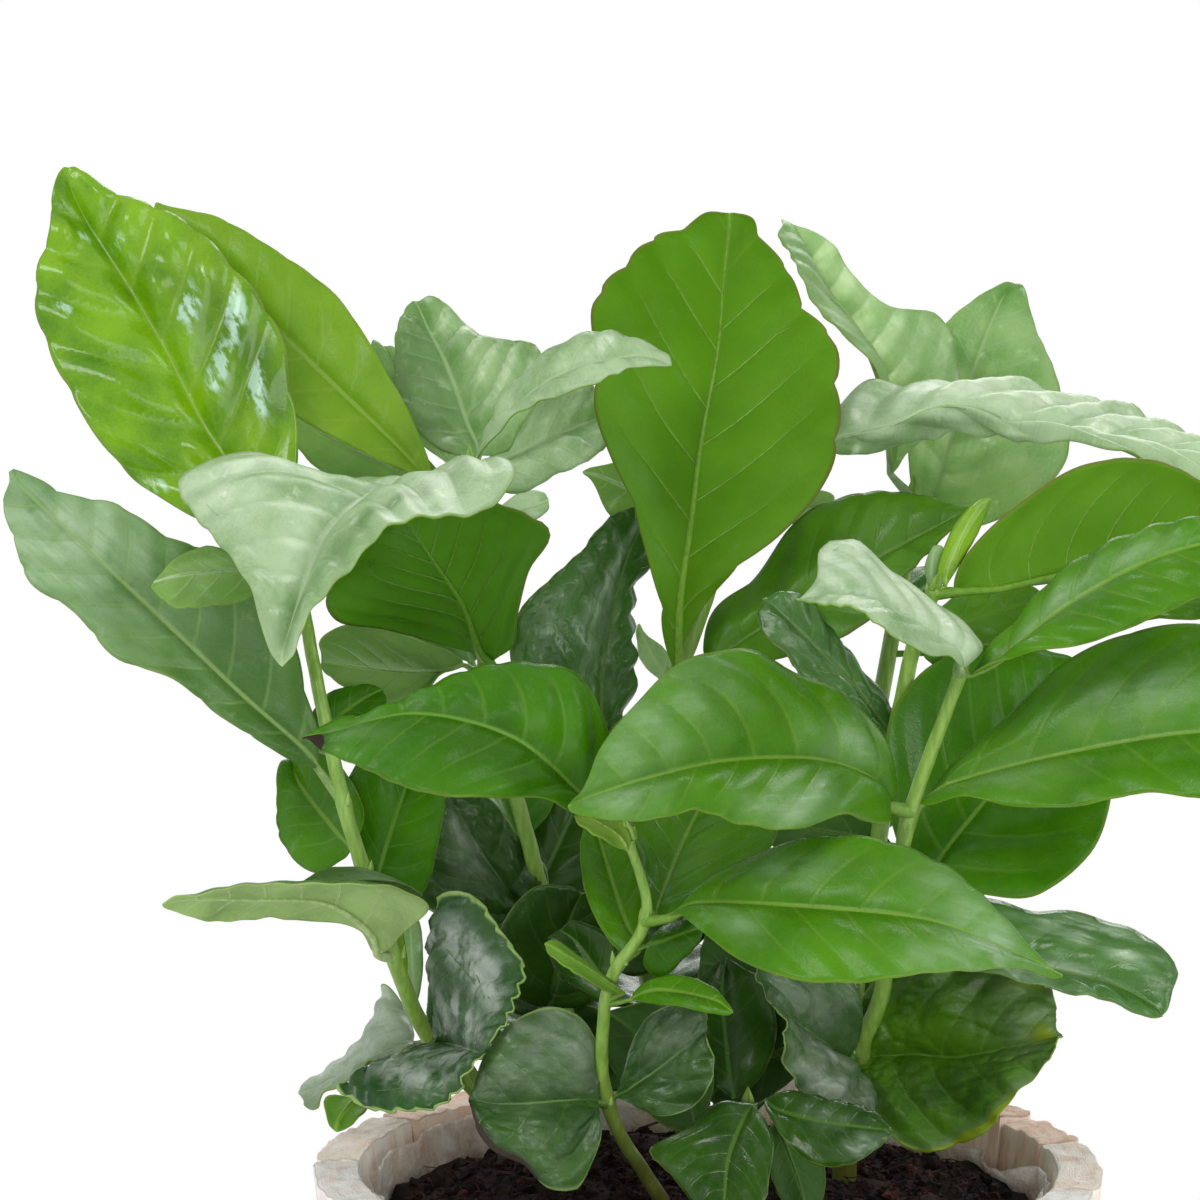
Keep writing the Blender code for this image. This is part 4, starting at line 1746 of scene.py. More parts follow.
class CrumbTree(ScatterTree):
    """Scattered lumpy crumbs."""

    def __init__(self) -> None:
        """Builds the tree."""
        super().__init__("scattered_crumbs")
        smallest, largest = self.size("Smallest"), self.size("Largest")
        detail, flatness = self.size("Detail", "NodeSocketInt"), self.size("Flatness")
        ball = self.add("GeometryNodeMeshIcoSphere", {"Radius": 0.5, "Subdivisions": detail})
        squash = self.add("ShaderNodeCombineXYZ", {0: 1.0, 1: 0.8, 2: flatness}).outputs[0]
        crumbs = self.scatter(ball, math.pi, self.scaled(squash, self.varied(smallest, largest)))
        self.warp(crumbs, 700.0, 1.0, self.times(largest, 0.8))


class FibreTree(ScatterTree):
    """Scattered short bent fibres."""

    def __init__(self) -> None:
        """Builds the tree."""
        super().__init__("scattered_fibres")
        length, thickness = self.size("Length"), self.size("Thickness")
        half = self.times(length, 0.5)
        ends = ({0: self.times(half, -1.0)}, {1: half, 2: half}, {0: half})
        start, middle, end = (self.add("ShaderNodeCombineXYZ", place).outputs[0] for place in ends)
        inputs = {"Resolution": 7, "Start": start, "Middle": middle, "End": end}
        arc = self.add("GeometryNodeCurveQuadraticBezier", inputs)
        profile = self.add("GeometryNodeCurvePrimitiveCircle", {"Resolution": 4, "Radius": thickness})
        inputs = {"Curve": arc.outputs[0], "Profile Curve": profile.outputs[0], "Fill Caps": True}
        strand = self.add("GeometryNodeCurveToMesh", inputs)
        fibres = self.scatter(strand, 0.55, self.varied(0.4, 1.3))
        self.warp(fibres, 160.0, 1.0, self.times(length, 0.7))


@dataclass(frozen=True)
class EarthFinish:
    """Peat: (dark, light) colours that vary from place to place."""

    name: str
    dark: Colour
    light: Colour
    rough: float = 0.92

    def material(self) -> Material:
        """The peat's material.

        Returns:
            The material.
        """
        g = Shader(self.name)
        place = g.place()
        patch = g.noise(place, 260.0, 6.0, 0.7)
        fine = g.noise(place, 1500.0, 4.0, 0.7)
        light = g.slope(g.plus(patch, g.times(fine, 0.4)), 0.55, 0.95)
        normal = g.bump(fine, 0.0006, 0.9)
        colour = g.mix(light, self.dark, self.light)
        return g.close(g.body(colour, self.rough, normal, Specular_IOR_Level=0.15))


@dataclass(frozen=True)
class LooseBits:
    """One kind of loose bits on the soil.

    sizes are the inputs of their tree, with lengths in millimetres, and plain ones are numbers.
    """

    tree: type[ScatterTree]
    earth: EarthFinish
    density: float
    seed: int
    sizes: dict[str, float]
    plain: dict[str, float]

    def strew(self, top: Mesh, tree: ScatterTree, look: Material) -> Mesh:
        """Strews them over the soil.

        Args:
            top: the soil's top, which stays as it is.
            tree: the tree that scatters them.
            look: their material.

        Returns:
            The bits.
        """
        sizes = {name: size * MM for name, size in self.sizes.items()}
        shape = {"Density": self.density, "Seed": self.seed, "Material": look}
        return tree.run(top.copy(), **shape, **sizes, **self.plain)


class Pot:
    """The pot: its staves, foot board, film and soil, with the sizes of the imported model."""

    HEIGHT = 125.0
    RIM_RADIUS = 75.0
    FOOT_RADIUS = 60.0
    GAP = 0.35
    STAVE_THICKNESS = 9.0
    STAVE_STARTS = (-16, 13, 28, 58, 88, 120, 150, 178, 210, 243, 275, 310)
    STAVE_JOINT = 0.5
    RISES = {3: 1.2, 4: 1.4, 5: 0.6}
    TONES = {
        2: WoodTone.TAN, 3: WoodTone.TAN, 6: WoodTone.TAN, 8: WoodTone.GREY,
        10: WoodTone.TAN, 12: WoodTone.GREY,
    }
    BOARD_THICKNESS = 8.0
    FILM_TOP = 124.0
    FILM_THICKNESS = 0.15
    FILM_GAP = 0.8
    FILM_CREASE = 2.6
    FILM_CREASE_SCALE = 75.0
    FILM_COLUMNS, FILM_ROWS = 400, 70
    FILM_CROWDING = 0.55
    FILM_FLOOR_RINGS = (0.02, 0.5, 0.9)
    FILM_WAVE, FILM_SINK = 0.5, 0.4
    FILM_FOLD_BELOW, FILM_FOLD_REACH = 2, 9
    # each fold of the film: (direction, spread in degrees, how far in, how far down)
    FILM_FOLDS = (
        (18, 9, 8, 3), (50, 22, 1, 7), (90, 16, 1.5, 6), (158, 8, 3, 0.5),
        (176, 5, 2, 1), (225, 12, 3, 1), (318, 9, 3, 1),
    )
    SOIL_CROWN = 117.0
    SOIL_EDGE = 115.5
    SOIL_LEVEL_RADIUS = 52.0
    SOIL_SLOPE_WIDTH = 10
    SOIL_SWELL, SOIL_GRAIN, SOIL_SINK = 0.9, 0.35, 0.3
    SOIL_COLUMNS, SOIL_ROWS = 128, 34
    SOIL_SIDE_HEIGHTS = (80.0, 40.0)
    SOIL_LIFT = 0.5
    SOIL_GAP = 2.1
    SOIL_HOLE = 0.3
    PEAT = EarthFinish("peat", (0.010, 0.006, 0.006), (0.036, 0.019, 0.013))
    BARK = EarthFinish("bark_bits", (0.050, 0.016, 0.014), (0.160, 0.055, 0.040))
    ROOT = EarthFinish("root_fibres", (0.020, 0.010, 0.008), (0.080, 0.040, 0.026))
    CRUMBS = (
        LooseBits(
            CrumbTree, PEAT, 60000.0, 3, {"Smallest": 1.6, "Largest": 4.2}, {"Detail": 2, "Flatness": 0.75}
        ),
        LooseBits(
            CrumbTree, PEAT, 260000.0, 5, {"Smallest": 0.6, "Largest": 1.6}, {"Detail": 1, "Flatness": 0.8}
        ),
    )
    LITTER = (
        LooseBits(
            CrumbTree, BARK, 9000.0, 8, {"Smallest": 1.2, "Largest": 4.0}, {"Detail": 2, "Flatness": 0.45}
        ),
        LooseBits(FibreTree, ROOT, 16000.0, 9, {"Length": 8.0, "Thickness": 0.12}, {}),
        LooseBits(FibreTree, ROOT, 20000.0, 13, {"Length": 4.0, "Thickness": 0.20}, {}),
    )

    @classmethod
    def outer_radius(cls, height: float | np.ndarray) -> float | np.ndarray:
        """Radius of the pot's outside, at a height above its underside."""
        return cls.FOOT_RADIUS + (cls.RIM_RADIUS - cls.FOOT_RADIUS) * height / cls.HEIGHT

    @classmethod
    def inner_radius(cls, height: float | np.ndarray) -> float | np.ndarray:
        """Radius of the pot's inside, at a height above its underside."""
        return cls.outer_radius(height) - cls.STAVE_THICKNESS

    def build_staves(self) -> None:
        """Makes the ring of staves."""
        wood = {tone: StaveFinish(tone).material() for tone in WoodTone}
        ends = (*self.STAVE_STARTS[1:], self.STAVE_STARTS[0] + 360)
        for number, (start, end) in enumerate(zip(self.STAVE_STARTS, ends), 1):
            tone = self.TONES.get(number, WoodTone.CREAM)
            mesh = Stave(number, start, end).build()
            mesh.materials.append(wood[tone])
            add_piece(f"wooden_stave_{number:02d}", mesh, [f"stave_{number:02d}"])

    def build_liner(self) -> None:
        """Makes the creased film."""
        turn = np.linspace(0, math.tau, self.FILM_COLUMNS, endpoint=False)
        share = np.linspace(0, 1, self.FILM_ROWS) ** self.FILM_CROWDING
        wave = self.FILM_WAVE * ripple(7, np.cos(turn) * 3, np.sin(turn) * 3)
        lip = self.FILM_TOP + wave - self.FILM_SINK
        slack = np.zeros(len(turn))
        for middle, spread, depth, drop in self.FILM_FOLDS:
            fold = np.exp(-(((np.degrees(turn) - middle + 180) % 360 - 180) / spread) ** 2)
            slack = np.maximum(slack, depth * fold)
            lip = lip - drop * fold
        floor = self.BOARD_THICKNESS + self.GAP
        height = floor + (lip - floor) * share[:, None]
        radius = self.inner_radius(height) - self.FILM_GAP
        above = height - self.SOIL_EDGE + self.FILM_FOLD_BELOW
        radius = radius - slack * np.clip(above / self.FILM_FOLD_REACH, 0, 1)
        points = ring(radius, turn, height)
        base = points[:1] * np.array(self.FILM_FLOOR_RINGS)[:, None, None]
        base[..., 2] = floor
        mesh = grid_mesh("film", np.vstack([base, points]), wrap=True)
        sizes = {"Depth": self.FILM_CREASE * MM, "Top": self.FILM_TOP * MM}
        sizes["Crease_Scale"] = self.FILM_CREASE_SCALE
        mesh = FilmTree().run(mesh, **sizes, Material=FilmFinish().material())
        add_piece("film_liner", thickened(mesh, self.FILM_THICKNESS), ["liner"])

    def soil_height(self, x: np.ndarray, y: np.ndarray) -> np.ndarray:
        """Height of the soil's surface.

        Args:
            x: place across.
            y: place from front to back.

        Returns:
            The height.
        """
        fall = np.clip((np.hypot(x, y) - self.SOIL_LEVEL_RADIUS) / self.SOIL_SLOPE_WIDTH, 0, 1)
        level = self.SOIL_CROWN + (self.SOIL_EDGE - self.SOIL_CROWN) * fall
        small = ripple(12, x / 3.5, y / 3.5, waves=12)
        waves = level + self.SOIL_SWELL * ripple(11, x / 14, y / 14) + self.SOIL_GRAIN * small
        return waves - self.SOIL_SINK

    def build_soil(self) -> None:
        """Makes the soil's block, and the crumbs and fibres on it."""
        turn = np.linspace(0, math.tau, self.SOIL_COLUMNS, endpoint=False)
        edge = self.inner_radius(self.SOIL_EDGE) - self.SOIL_GAP
        reaches = [self.SOIL_HOLE, *np.linspace(2, edge, self.SOIL_ROWS)]
        rows = [ring(r, turn, self.soil_height(r * np.cos(turn), r * np.sin(turn))) for r in reaches]
        floor = self.BOARD_THICKNESS + 2 * self.GAP + self.SOIL_LIFT
        for height in (*self.SOIL_SIDE_HEIGHTS, floor):
            rows.append(ring(self.inner_radius(height) - self.SOIL_GAP, turn, height))
        rows.append(ring(self.SOIL_HOLE, turn, floor))
        block = grid_mesh("soil", np.array(rows)[:, ::-1], wrap=True)
        close_mesh(block)
        looks = {earth: earth.material() for earth in (self.PEAT, self.BARK, self.ROOT)}
        block.materials.append(looks[self.PEAT])
        top = grid_mesh("soil_top", np.array(rows[: self.SOIL_ROWS - 1])[:, ::-1], wrap=True)
        trees = {kind: kind() for kind in (CrumbTree, FibreTree)}
        crumbs, litter = (
            [bits.strew(top, trees[bits.tree], looks[bits.earth]) for bits in kinds]
            for kinds in (self.CRUMBS, self.LITTER)
        )
        add_piece("peat_block", joined([block, *crumbs]), ["soil"])
        add_piece("peat_litter", joined(litter))

    def dress_board(self) -> None:
        """Gives the foot board its plain sawn wood."""
        g = Shader("board_sawn")
        grain = g.noise(g.stretch(g.place(), (30.0, 420.0, 60.0)), 1.0, 6.0, 0.65)
        colour = g.mix(g.slope(grain, 0.35, 0.7), (0.50, 0.34, 0.23), (0.27, 0.16, 0.10))
        wood = g.close(g.body(colour, 0.85, g.bump(grain, 0.0004, 0.8)))
        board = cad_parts["foot_board"]
        board.data.materials.clear()
        board.data.materials.append(wood)


# ---------------------------------------------------------------------------------------------
# Plant
# ---------------------------------------------------------------------------------------------

STEMS = (
    Stem(
        "left",
        ((-29, 18), (-52, 2, 148), (-59, -6, 166), (-68, -10, 196), (-75, 0, 226), (-77, 7, 239)),
        1.8, 1.1,
    ),
    Stem("inner", ((-22, 38), (-31, 30, 167), (-36, 25, 189), (-42, 21, 213), (-45, 22, 255)), 1.8, 1.2),
    Stem("front", ((-8, -8), (-19, -22, 142), (-19, -30, 165), (-12, -32, 179), (-15, -36, 194)), 1.4, 0.85),
    Stem("right", ((27, 20), (29, 5, 145), (33, 0, 159), (37, -8, 192), (46, -14, 221)), 2.0, 1.2),
    Stem("slim", ((25, 38), (38, 27, 210), (43, 14, 233)), 2.0, 1.2),
    Stem("far", ((20, 55), (40, 60, 230), (42, 62, 245)), 2.0, 1.2),
    Stem("tall", ((-2, 50), (-19, 46, 190), (-5, 42, 213), (10, 46, 257)), 2.2, 1.3),
    Stem("small", ((7, -9), (7, -18, 140)), 1.5, 1.0),
)

LEAVES = (
    Leaf(
        "left_crown_leaf", "left", 239, Look.YOUNG,
        (-83, 10, 245, -1, 1, 3, -5, 2, 7, -7, 4, 10, -7, 4, 13, -8, 4, 13, -7, 4, 10, -4, 2, 8, 0, 1, 3),
        (-1, 0, 0, -2, -1, 0, -5, 0, 1, -5, 1, 1, -7, 1, 4, -6, 1, 4, -6, 1, 7, -5, 2, 8, -4, 4, 7, -3, 2,
         8, 0, 2, 8, 2, 3, 7, 0, 2, 5, 1, 2, 5, 1, 2, 2),
        (1, 0, 1, 1, 1, 2, 2, 1, 4, 1, 1, 5, 0, 1, 7, -1, 2, 8, -2, 3, 8, -4, 3, 7, -6, 1, 7, -6, 2, 6,
         -7, 2, 4, -6, 2, 2, -5, 1, 2, -4, 1, 3, -2, 1, 1),
        scallop=1.0, pairs=7, quilt=2.3, bulge=0.05,
        patches=((0.56, 0.4, 0.11, 0.25, 0.7), (0.5, 0.3, 0.11, 0.14, 0.5), (0.5, 0.75, 0.11, 0.14, 1),
            (0.37, 0.4, 0.11, 0.21, 0.9), (0.37, 0.65, 0.1, 0.13, 1), (0.25, 0.7, 0.07, 0.15, 1),
            (0.8, -0.3, 0.04, 0.18, 0.7), (0.75, 0.25, 0.05, 0.21, 0.6), (0.69, -0.7, 0.05, 0.12, 0.7),
            (0.5, -0.85, 0.05, 0.1, 0.6), (0.37, -0.9, 0.05, 0.1, 0.6), (0.25, -0.9, 0.05, 0.13, 0.6),
            (0.5, 0.45, 0.2, 0.19, -0.6), (0.43, 0.65, 0.17, 0.19, -0.8), (0.37, 0.75, 0.12, 0.21, -0.9)),
    ),
    Leaf(
        "left_long_leaf", "left", 196, Look.FRESH,
        (-73, -10, 203, -3, -1, 4, -11, -1, 10, -14, -2, 14, -14, -2, 14, -10, -2, 10, -3, -1, 4),
        (-1, -1, 0, -4, -2, 2, -6, -2, 4, -7, -1, 5, -8, -3, 7, -10, -2, 4, -7, 1, 8, -8, -2, 6, -3, 0, 8,
         -2, 2, 6, 1, 1, 4),
        (0, 0, 2, 0, 0, 4, -2, 1, 7, -2, -1, 9, -5, 0, 10, -8, 0, 7, -10, -3, 4, -9, -1, 6, -9, -1, 2, -5,
         -2, 3, -4, -1, 2),
        scallop=0.7, pairs=9, quilt=0.5,
        patches=((0.81, -0.25, 0.23, 1.41, 0.9), (0.63, -0.35, 0.2, 0.86, 0.5),
            (0.31, 0.35, 0.33, 0.65, -0.9), (0.1, -0.15, 0.3, 1.6, -0.9), (0.5, 0.45, 0.13, 0.3, -0.5)),
    ),
    Leaf(
        "left_mid_leaf", "left", 183, Look.BRIGHT,
        (-67, -3, 186, -4, 7, 3, -7, 13, 6, -2, 7, 4),
        (-2, 1, -2, -6, 4, -3, -6, 7, 5, -1, 6, 7, 0, 6, 5),
        (1, 2, 1, 1, 3, 5, -3, 8, 5, -6, 7, 5, -5, 4, -1),
        pairs=6, quilt=0.4,
    ),
    Leaf(
        "left_low_leaf", "left", 166, Look.SILK,
        (-62, -11, 168, -1, -3, 5, -8, -8, 7, -13, -12, 3, -10, -11, 2, -4, -5, 0),
        (2, -3, 1, 3, -4, 4, 5, -7, 6, -6, -6, 5, -10, -6, 2, -9, -5, 1, -9, -3, 0, -6, -3, -1, -4, -1, 0),
        (-1, 2, 0, -2, 1, 3, -4, -1, 2, -6, -3, 1, -6, -6, 2, -6, -8, 1, -5, -9, 2, -4, -8, 3, -2, -5, 2),
        scallop=0.1, ruffle=0.2, pairs=7, quilt=0.35,
        patches=((0.62, 0.35, 0.24, 0.45, 0.4),),
    ),
    Leaf(
        "left_cotyledon_front", "left", 148, Look.GREY,
        (-51.4, -1.7, 148.8, 0.5, -1.1, 0.1, 1.5, -3.1, 0.5, 2, -4.7, 0.6, 2.3, -5.8, 0.7, 2, -5.5, 0.7,
         1.4, -3.9, 1, 0.5, -1.4, 0.4),
        (0.1, -2.2, 1.5, 0.1, -2.3, 3.2, -0.5, -2.3, 4.8, 0.3, -1.7, 6.2, -0.2, -1.7, 7.2, 1.6, -3.1, 7.5,
         6.6, -3.1, 0, 4.6, -2.5, -5.9, 4.1, -3.6, -5.6, -0.3, -3, -4.5, -1.1, -1.1, -4.5, -3.1, -0.3,
         -2.6, -1.6, 0.2, -2.2),
        (-0.5, -2.5, 0.1, -1.7, -2.6, -0.5, -2.9, -2.8, -0.7, -3.8, -3.6, -1, -4.5, -4.1, -1.4, -3.6,
         -2.8, -2, 4.8, -2.7, -1.6, 6.1, -3.8, 0, 5.5, -2, 0.5, 3.9, -0.5, 3.4, 2.7, -0.7, 3.6, 2.4, -0.1,
         2.2, 1.4, 0.9, 1.2),
        ruffle=1.6, scallop=1.3, pairs=6, quilt=0.4,
        patches=((0.47, -0.75, 0.32, 0.1, 1), (0.6, -0.6, 0.29, 0.15, 1), (0.6, -0.2, 0.29, 0.17, 1),
            (0.6, 0.15, 0.29, 0.22, 1), (0.47, 0.55, 0.29, 0.14, 0.8), (0.6, 0.6, 0.21, 0.17, 0.9),
            (0.4, -0.75, 0.29, 0.13, -0.6), (0.34, -0.4, 0.32, 0.14, -0.5), (0.4, 0.75, 0.29, 0.17, -0.4)),
    ),
    Leaf(
        "left_cotyledon_back", "left", 148, Look.ASHY,
        (-56, 6, 147, -3, 2, -1, -8, 6, -6, -8, 6, -5, -4, 3, -2),
        (0, -3, 0, -3, -1, -1, -4, 2, -3, -4, 2, -3, -5, 4, -4, -4, 4, -4, -2, 5, 1),
        (0, 3, 1, -2, 5, 3, -3, 3, 4, -3, 4, -8, -5, 2, -7, -5, 2, -4, -4, -1, -2),
        ruffle=1.2, scallop=0.8, pairs=5, quilt=0.4,
        patches=((0.56, 0.8, 0.5, 0.9, 0.9),),
    ),
    Leaf(
        "inner_crown_leaf_left", "inner", 250, Look.LIME,
        (-53, 23, 252, -7, 2, 8, -19, 4, 18, -19, 6, 19, -8, 2, 8),
        (-3, -1, 2, -7, -1, 3, -12, 2, 6, -12, 1, 8, -9, 4, 12, -6, 4, 11, -4, 4, 8),
        (0, 1, 3, -3, 2, 8, -6, 1, 11, -9, 5, 13, -12, 1, 9, -11, 3, 6, -9, 1, 2),
        pairs=9, quilt=0.35,
    ),
    Leaf(
        "inner_crown_leaf_front", "inner", 252, Look.PALE,
        (-49, 15, 254, -2, -3, 0, -6, -9, 0, -7, -12, -1, -6, -15, -5, -3, -14, -7, -2, -11, -6, -1, -7,
         -4, 0, -3, -2),
        (0, -3, 0, 3, -5, 1, 3, -6, 2, 5, -8, 2, 2, -8, -2, -4, -8, -4, -6, -6, -1, -7, -6, 0, -6, -5, -2,
         -5, -5, -5, -4, -4, -4, -3, -3, -4, -2, -3, -3, -1, -2, -3, -1, -1, -1),
        (-1, 1, -1, -3, 0, 0, -5, -2, 0, -5, -3, -1, -8, -4, 1, -7, -5, 4, -7, -7, 4, -8, -8, -1, -4, -8,
         -4, 5, -9, -6, 6, -9, -5, 4, -7, -5, 2, -6, -5, 2, -4, -4, 1, -2, -1),
        pairs=8, quilt=1.3,
        patches=((0.52, 0.75, 0.19, 0.28, 0.7), (0.27, -0.3, 0.16, 0.25, 0.6),
            (0.59, 0.1, 0.16, 0.19, 0.4), (0.94, 0.15, 0.07, 1.2, -0.5), (0.46, -0.55, 0.19, 0.11, -0.6),
            (0.65, -0.55, 0.14, 0.19, -0.4), (0.33, 1, 0.12, 0.11, -0.4)),
    ),
    Leaf(
        "inner_crown_leaf_back", "inner", 254, Look.HAZY,
        (-44, 28, 257, 0, 1, 2, -2, 3, 4, -2, 5, 5, -3, 5, 7, -3, 5, 5, -2, 3, 4, -1, 1, 1),
        (0, 0, 0, -2, 0, 0, -2, 1, 0, -3, 2, 1, -3, 2, 2, -3, 1, 3, -2, 3, 4, -1, 4, 4, 0, 2, 4, 0, 2, 4,
         1, 3, 3, 1, 2, 2, 1, 1, 1),
        (1, 0, 0, 2, 0, 0, 3, 1, 1, 2, 1, 4, 3, 2, 4, 2, 4, 5, -2, 3, 6, -5, 1, 1, -6, 3, 1, -4, 3, 3, -3,
         2, 3, -3, 2, 1, -2, 1, -1),
        pairs=7, quilt=1.8,
        patches=((0.43, 0.6, 0.26, 0.34, 0.9), (0.69, 0.65, 0.21, 0.52, 0.7),
            (0.69, -0.45, 0.36, 0.71, -0.7), (0.31, -0.4, 0.26, 0.6, -0.6), (0.8, 0.7, 0.23, 0.28, 1),
            (0.43, 0.35, 0.21, 0.09, 0.9)),
    ),
    Leaf(
        "inner_crown_leaf_right", "inner", 254, Look.PALE,
        (-44, 16, 257, 3, -3, 6, 12, -6, 11, 15, 0, 4, 7, 2, -2),
        (1, 1, 2, 2, -1, 5, 4, -1, 7, 7, -2, 7, 9, -2, 4, 8, -1, -2, 5, 0, -2),
        (1, -2, 2, 3, -5, 4, 5, -6, 5, 7, -2, 3, 8, -1, 3, 6, 4, 2, 5, 3, 0),
        pairs=7, quilt=1.2,
    ),
    Leaf(
        "inner_crown_leaf_rear", "inner", 252, Look.PALE,
        (-42, 28, 255, 3, 3, 1, 8, 8, 3, 9, 8, 3, 3, 3, 1),
        (0, 1, 1, 2, 4, 3, 3, 5, 5, 4, 5, 4, 7, 4, 2, 5, 2, -2, 2, 1, -4),
        (0, -1, -1, 2, -1, -3, 5, 1, -1, 6, 4, 3, 6, 5, 2, 4, 6, 3, 0, 5, 4),
        pairs=6, quilt=1.4,
        patches=((0.63, -0.1, 0.24, 0.55, 0.6),),
    ),
    Leaf(
        "inner_upper_leaf", "inner", 217, Look.SHADE,
        (-41, 15, 219, -2, -2, 3, -3, -6, 9, -5, -8, 9, -4, -6, 7, -2, -3, 3),
        (1, -2, 1, 3, -4, 3, 1, -5, 7, 2, -4, 8, 4, -4, 8, -8, -4, 5, -8, -1, 1, -6, -1, -1, -4, 0, -1),
        (-2, 2, 1, -4, 1, 1, -7, 1, 2, -8, -2, 2, -8, -4, 2, -2, -3, 5, 6, -7, 8, 4, -5, 6, 4, -5, 3),
        pairs=7, quilt=0.5,
    ),
    Leaf(
        "inner_low_leaf", "inner", 167, Look.SEED,
        (-36, 29.1, 169, -2.4, -0.2, 3, -5.1, -0.4, 7.6, -4.6, -0.4, 8, -1.8, -0.1, 3.3),
        (-1.2, -1.9, -0.8, -3.9, -1, -2.7, -7.2, -2.5, 1.4, -7.3, 0.7, 4.2, 0.5, -0.1, 8.1, 1.9, 1, 7,
         1.8, 1.8, 4.1),
        (1.4, 0.2, 0.1, 3.7, -1, 1.5, -0.5, 1, 5.9, -4.7, -0.2, 5.5, -4, -0.3, 6, -4.3, 0.6, 3.3, -4.1,
         -1.4, -0.2),
        ruffle=1.2, pairs=4, quilt=1.0,
        patches=((0.75, -0.25, 0.31, 0.22, 0.8), (0.57, -0.1, 0.31, 0.13, 0.6)),
    ),
    Leaf(
        "front_top_leaf", "front", 194, Look.MID,
        (-21, -38, 199, -3, -2, 4, -12, -4, 11, -17, -4, 5, -15, -2, -3, -5, -1, -1),
        (-1, -3, 0, -4, -5, 2, -6, -4, 3, -7, -5, 1, -9, -3, 1, -8, 1, 2, -7, 1, 3, -6, 3, 2, -3, 2, 2),
        (1, 1, 1, 1, 1, 6, -1, 0, 9, -5, 0, 9, -12, -1, 2, -11, -5, -2, -10, -3, -5, -8, -3, -1, -5, -2,
         -2),
        pairs=8, quilt=1.0,
        patches=((0.51, -0.35, 0.36, 0.51, -0.6), (0.86, -0.25, 0.13, 0.56, 0.25),
            (0.96, -0.8, 0.04, 0.8, -3)),
    ),
    Leaf(
        "front_broad_leaf", "front", 178, Look.BRIGHT,
        (-8, -36, 180, 6, -3, 3, 18, -9, 1, 22, -7, -1, 17, -4, -6, 6, -1, -3),
        (2, 1, 1, 4, 0, 4, 8, -1, 5, 11, -2, 4, 12, -5, 1, 12, -4, -4, 8, -6, -6, 6, -4, -6, 4, -2, -4),
        (2, -3, 1, 4, -7, -2, 6, -8, -3, 9, -8, -2, 11, -3, 0, 11, -2, 2, 10, 2, 0, 8, 2, 0, 6, 2, -2),
        pairs=8, quilt=0.5, bulge=0.12,
        patches=((0.82, 0.1, 0.1, 0.92, 0.9), (0.71, -0.5, 0.1, 0.39, 0.4),
            (0.4, -0.55, 0.24, 0.29, -0.5), (0.21, 0.5, 0.07, 0.22, 0.4), (0.33, -0.5, 0.09, 0.22, 0.35),
            (0.71, 0.75, 0.08, 0.23, 0.5)),
    ),
    Leaf(
        "front_mid_leaf_left", "front", 170, Look.BRIGHT,
        (-13, -27, 172, -3, 4, 5, -4, 10, 11, -2, 5, 6),
        (-2, -2, -1, -4, 3, 3, -4, 3, 7, -1, 6, 7, 1, 6, 5),
        (1, 2, 1, 0, 4, 5, -1, 6, 6, -3, 4, 7, -4, 2, 3),
        pairs=6, quilt=0.6,
    ),
    Leaf(
        "front_mid_leaf_rear", "front", 180, Look.BRIGHT,
        (-10, -27, 178, 1, 6, 3, 4, 15, 7, 5, 14, 7, 2, 6, 2),
        (-1, 4, 0, -2, 7, 3, 0, 9, 4, -1, 8, 6, 5, 8, 4, 6, 3, 2, 4, 2, 0),
        (1, -1, 0, 5, 1, 2, 7, 4, 3, 7, 7, 4, 3, 9, 6, -4, 10, 5, -5, 7, 0),
        pairs=7, quilt=0.6,
    ),
    Leaf(
        "front_cotyledon_left", "front", 142, Look.SEED,
        (-20.8, -24.2, 142.6, -1.6, -0.4, 0.5, -4.3, -1.3, 0.3, -6, -1, -0.3, -5.9, -0.1, -0.2, -4.3, 0.3,
         0.4, -1.6, 0.2, 0.3),
        (0, -1.6, -0.4, 0.2, -2, -1.8, 0.1, -1.7, -3.3, -1.6, -1, -4.3, -2.6, -2.8, -4.1, -5.4, -0.3, 0.4,
         -4.2, 1.7, 3.7, -5, -0.5, 2.2, -3.2, 1.4, 3.2, -1.1, 2.1, 3, -0.7, 1.3, 1.9),
        (0.1, 0.1, 0.8, 0.2, 0.3, 2.3, 0, 0.1, 3.8, -1, -1.2, 5.1, -3.4, 0.4, 4.4, -5.6, 0.9, 1.1, -5.5,
         -2.1, -1.9, -3.8, 0.4, -4.2, -2.5, 0.1, -4.2, -1, -1, -3.4, -0.9, -0.4, -2.1),
        pairs=4, quilt=0.6,
        patches=((0.38, 0.6, 0.49, 0.49, 0.35), (0.7, 0.4, 0.37, 0.44, 0.3), (0.98, -1, 0.16, 0.26, -3),
            (0.9, -1, 0.16, 0.26, -3), (0.81, -1, 0.16, 0.16, -3), (0.7, -1, 0.16, 0.11, -3)),
    ),
    Leaf(
        "front_cotyledon_right", "front", 142, Look.SEED,
        (-17.7, -23.7, 143.5, 2.7, -1, 1.6, 5.8, -2.2, 4.8, 5.6, -2.2, 4.9, 2.4, -0.9, 2),
        (0.7, -0.3, 1.1, 1.3, -0.1, 3.3, 1.4, 0.1, 5.1, 3, -1.6, 5.7, 5.3, -0.6, 2.7, 4.9, -2.2, -0.8,
         0.5, -0.6, -3),
        (1.2, -1.5, 0.1, 3, -1.7, -0.9, 4.4, -3.4, -1, 5.5, 0.1, 1.6, 3.4, -2, 5, 0.7, 1.2, 4.6, -1.2,
         -0.3, 3.2),
        pairs=4, quilt=0.7,
        patches=((0.81, -0.4, 0.36, 0.54, 0.3), (0.5, -0.15, 0.91, 1.3, -0.45),
            (0.57, 0.7, 0.54, 0.93, -0.4)),
    ),
    Leaf(
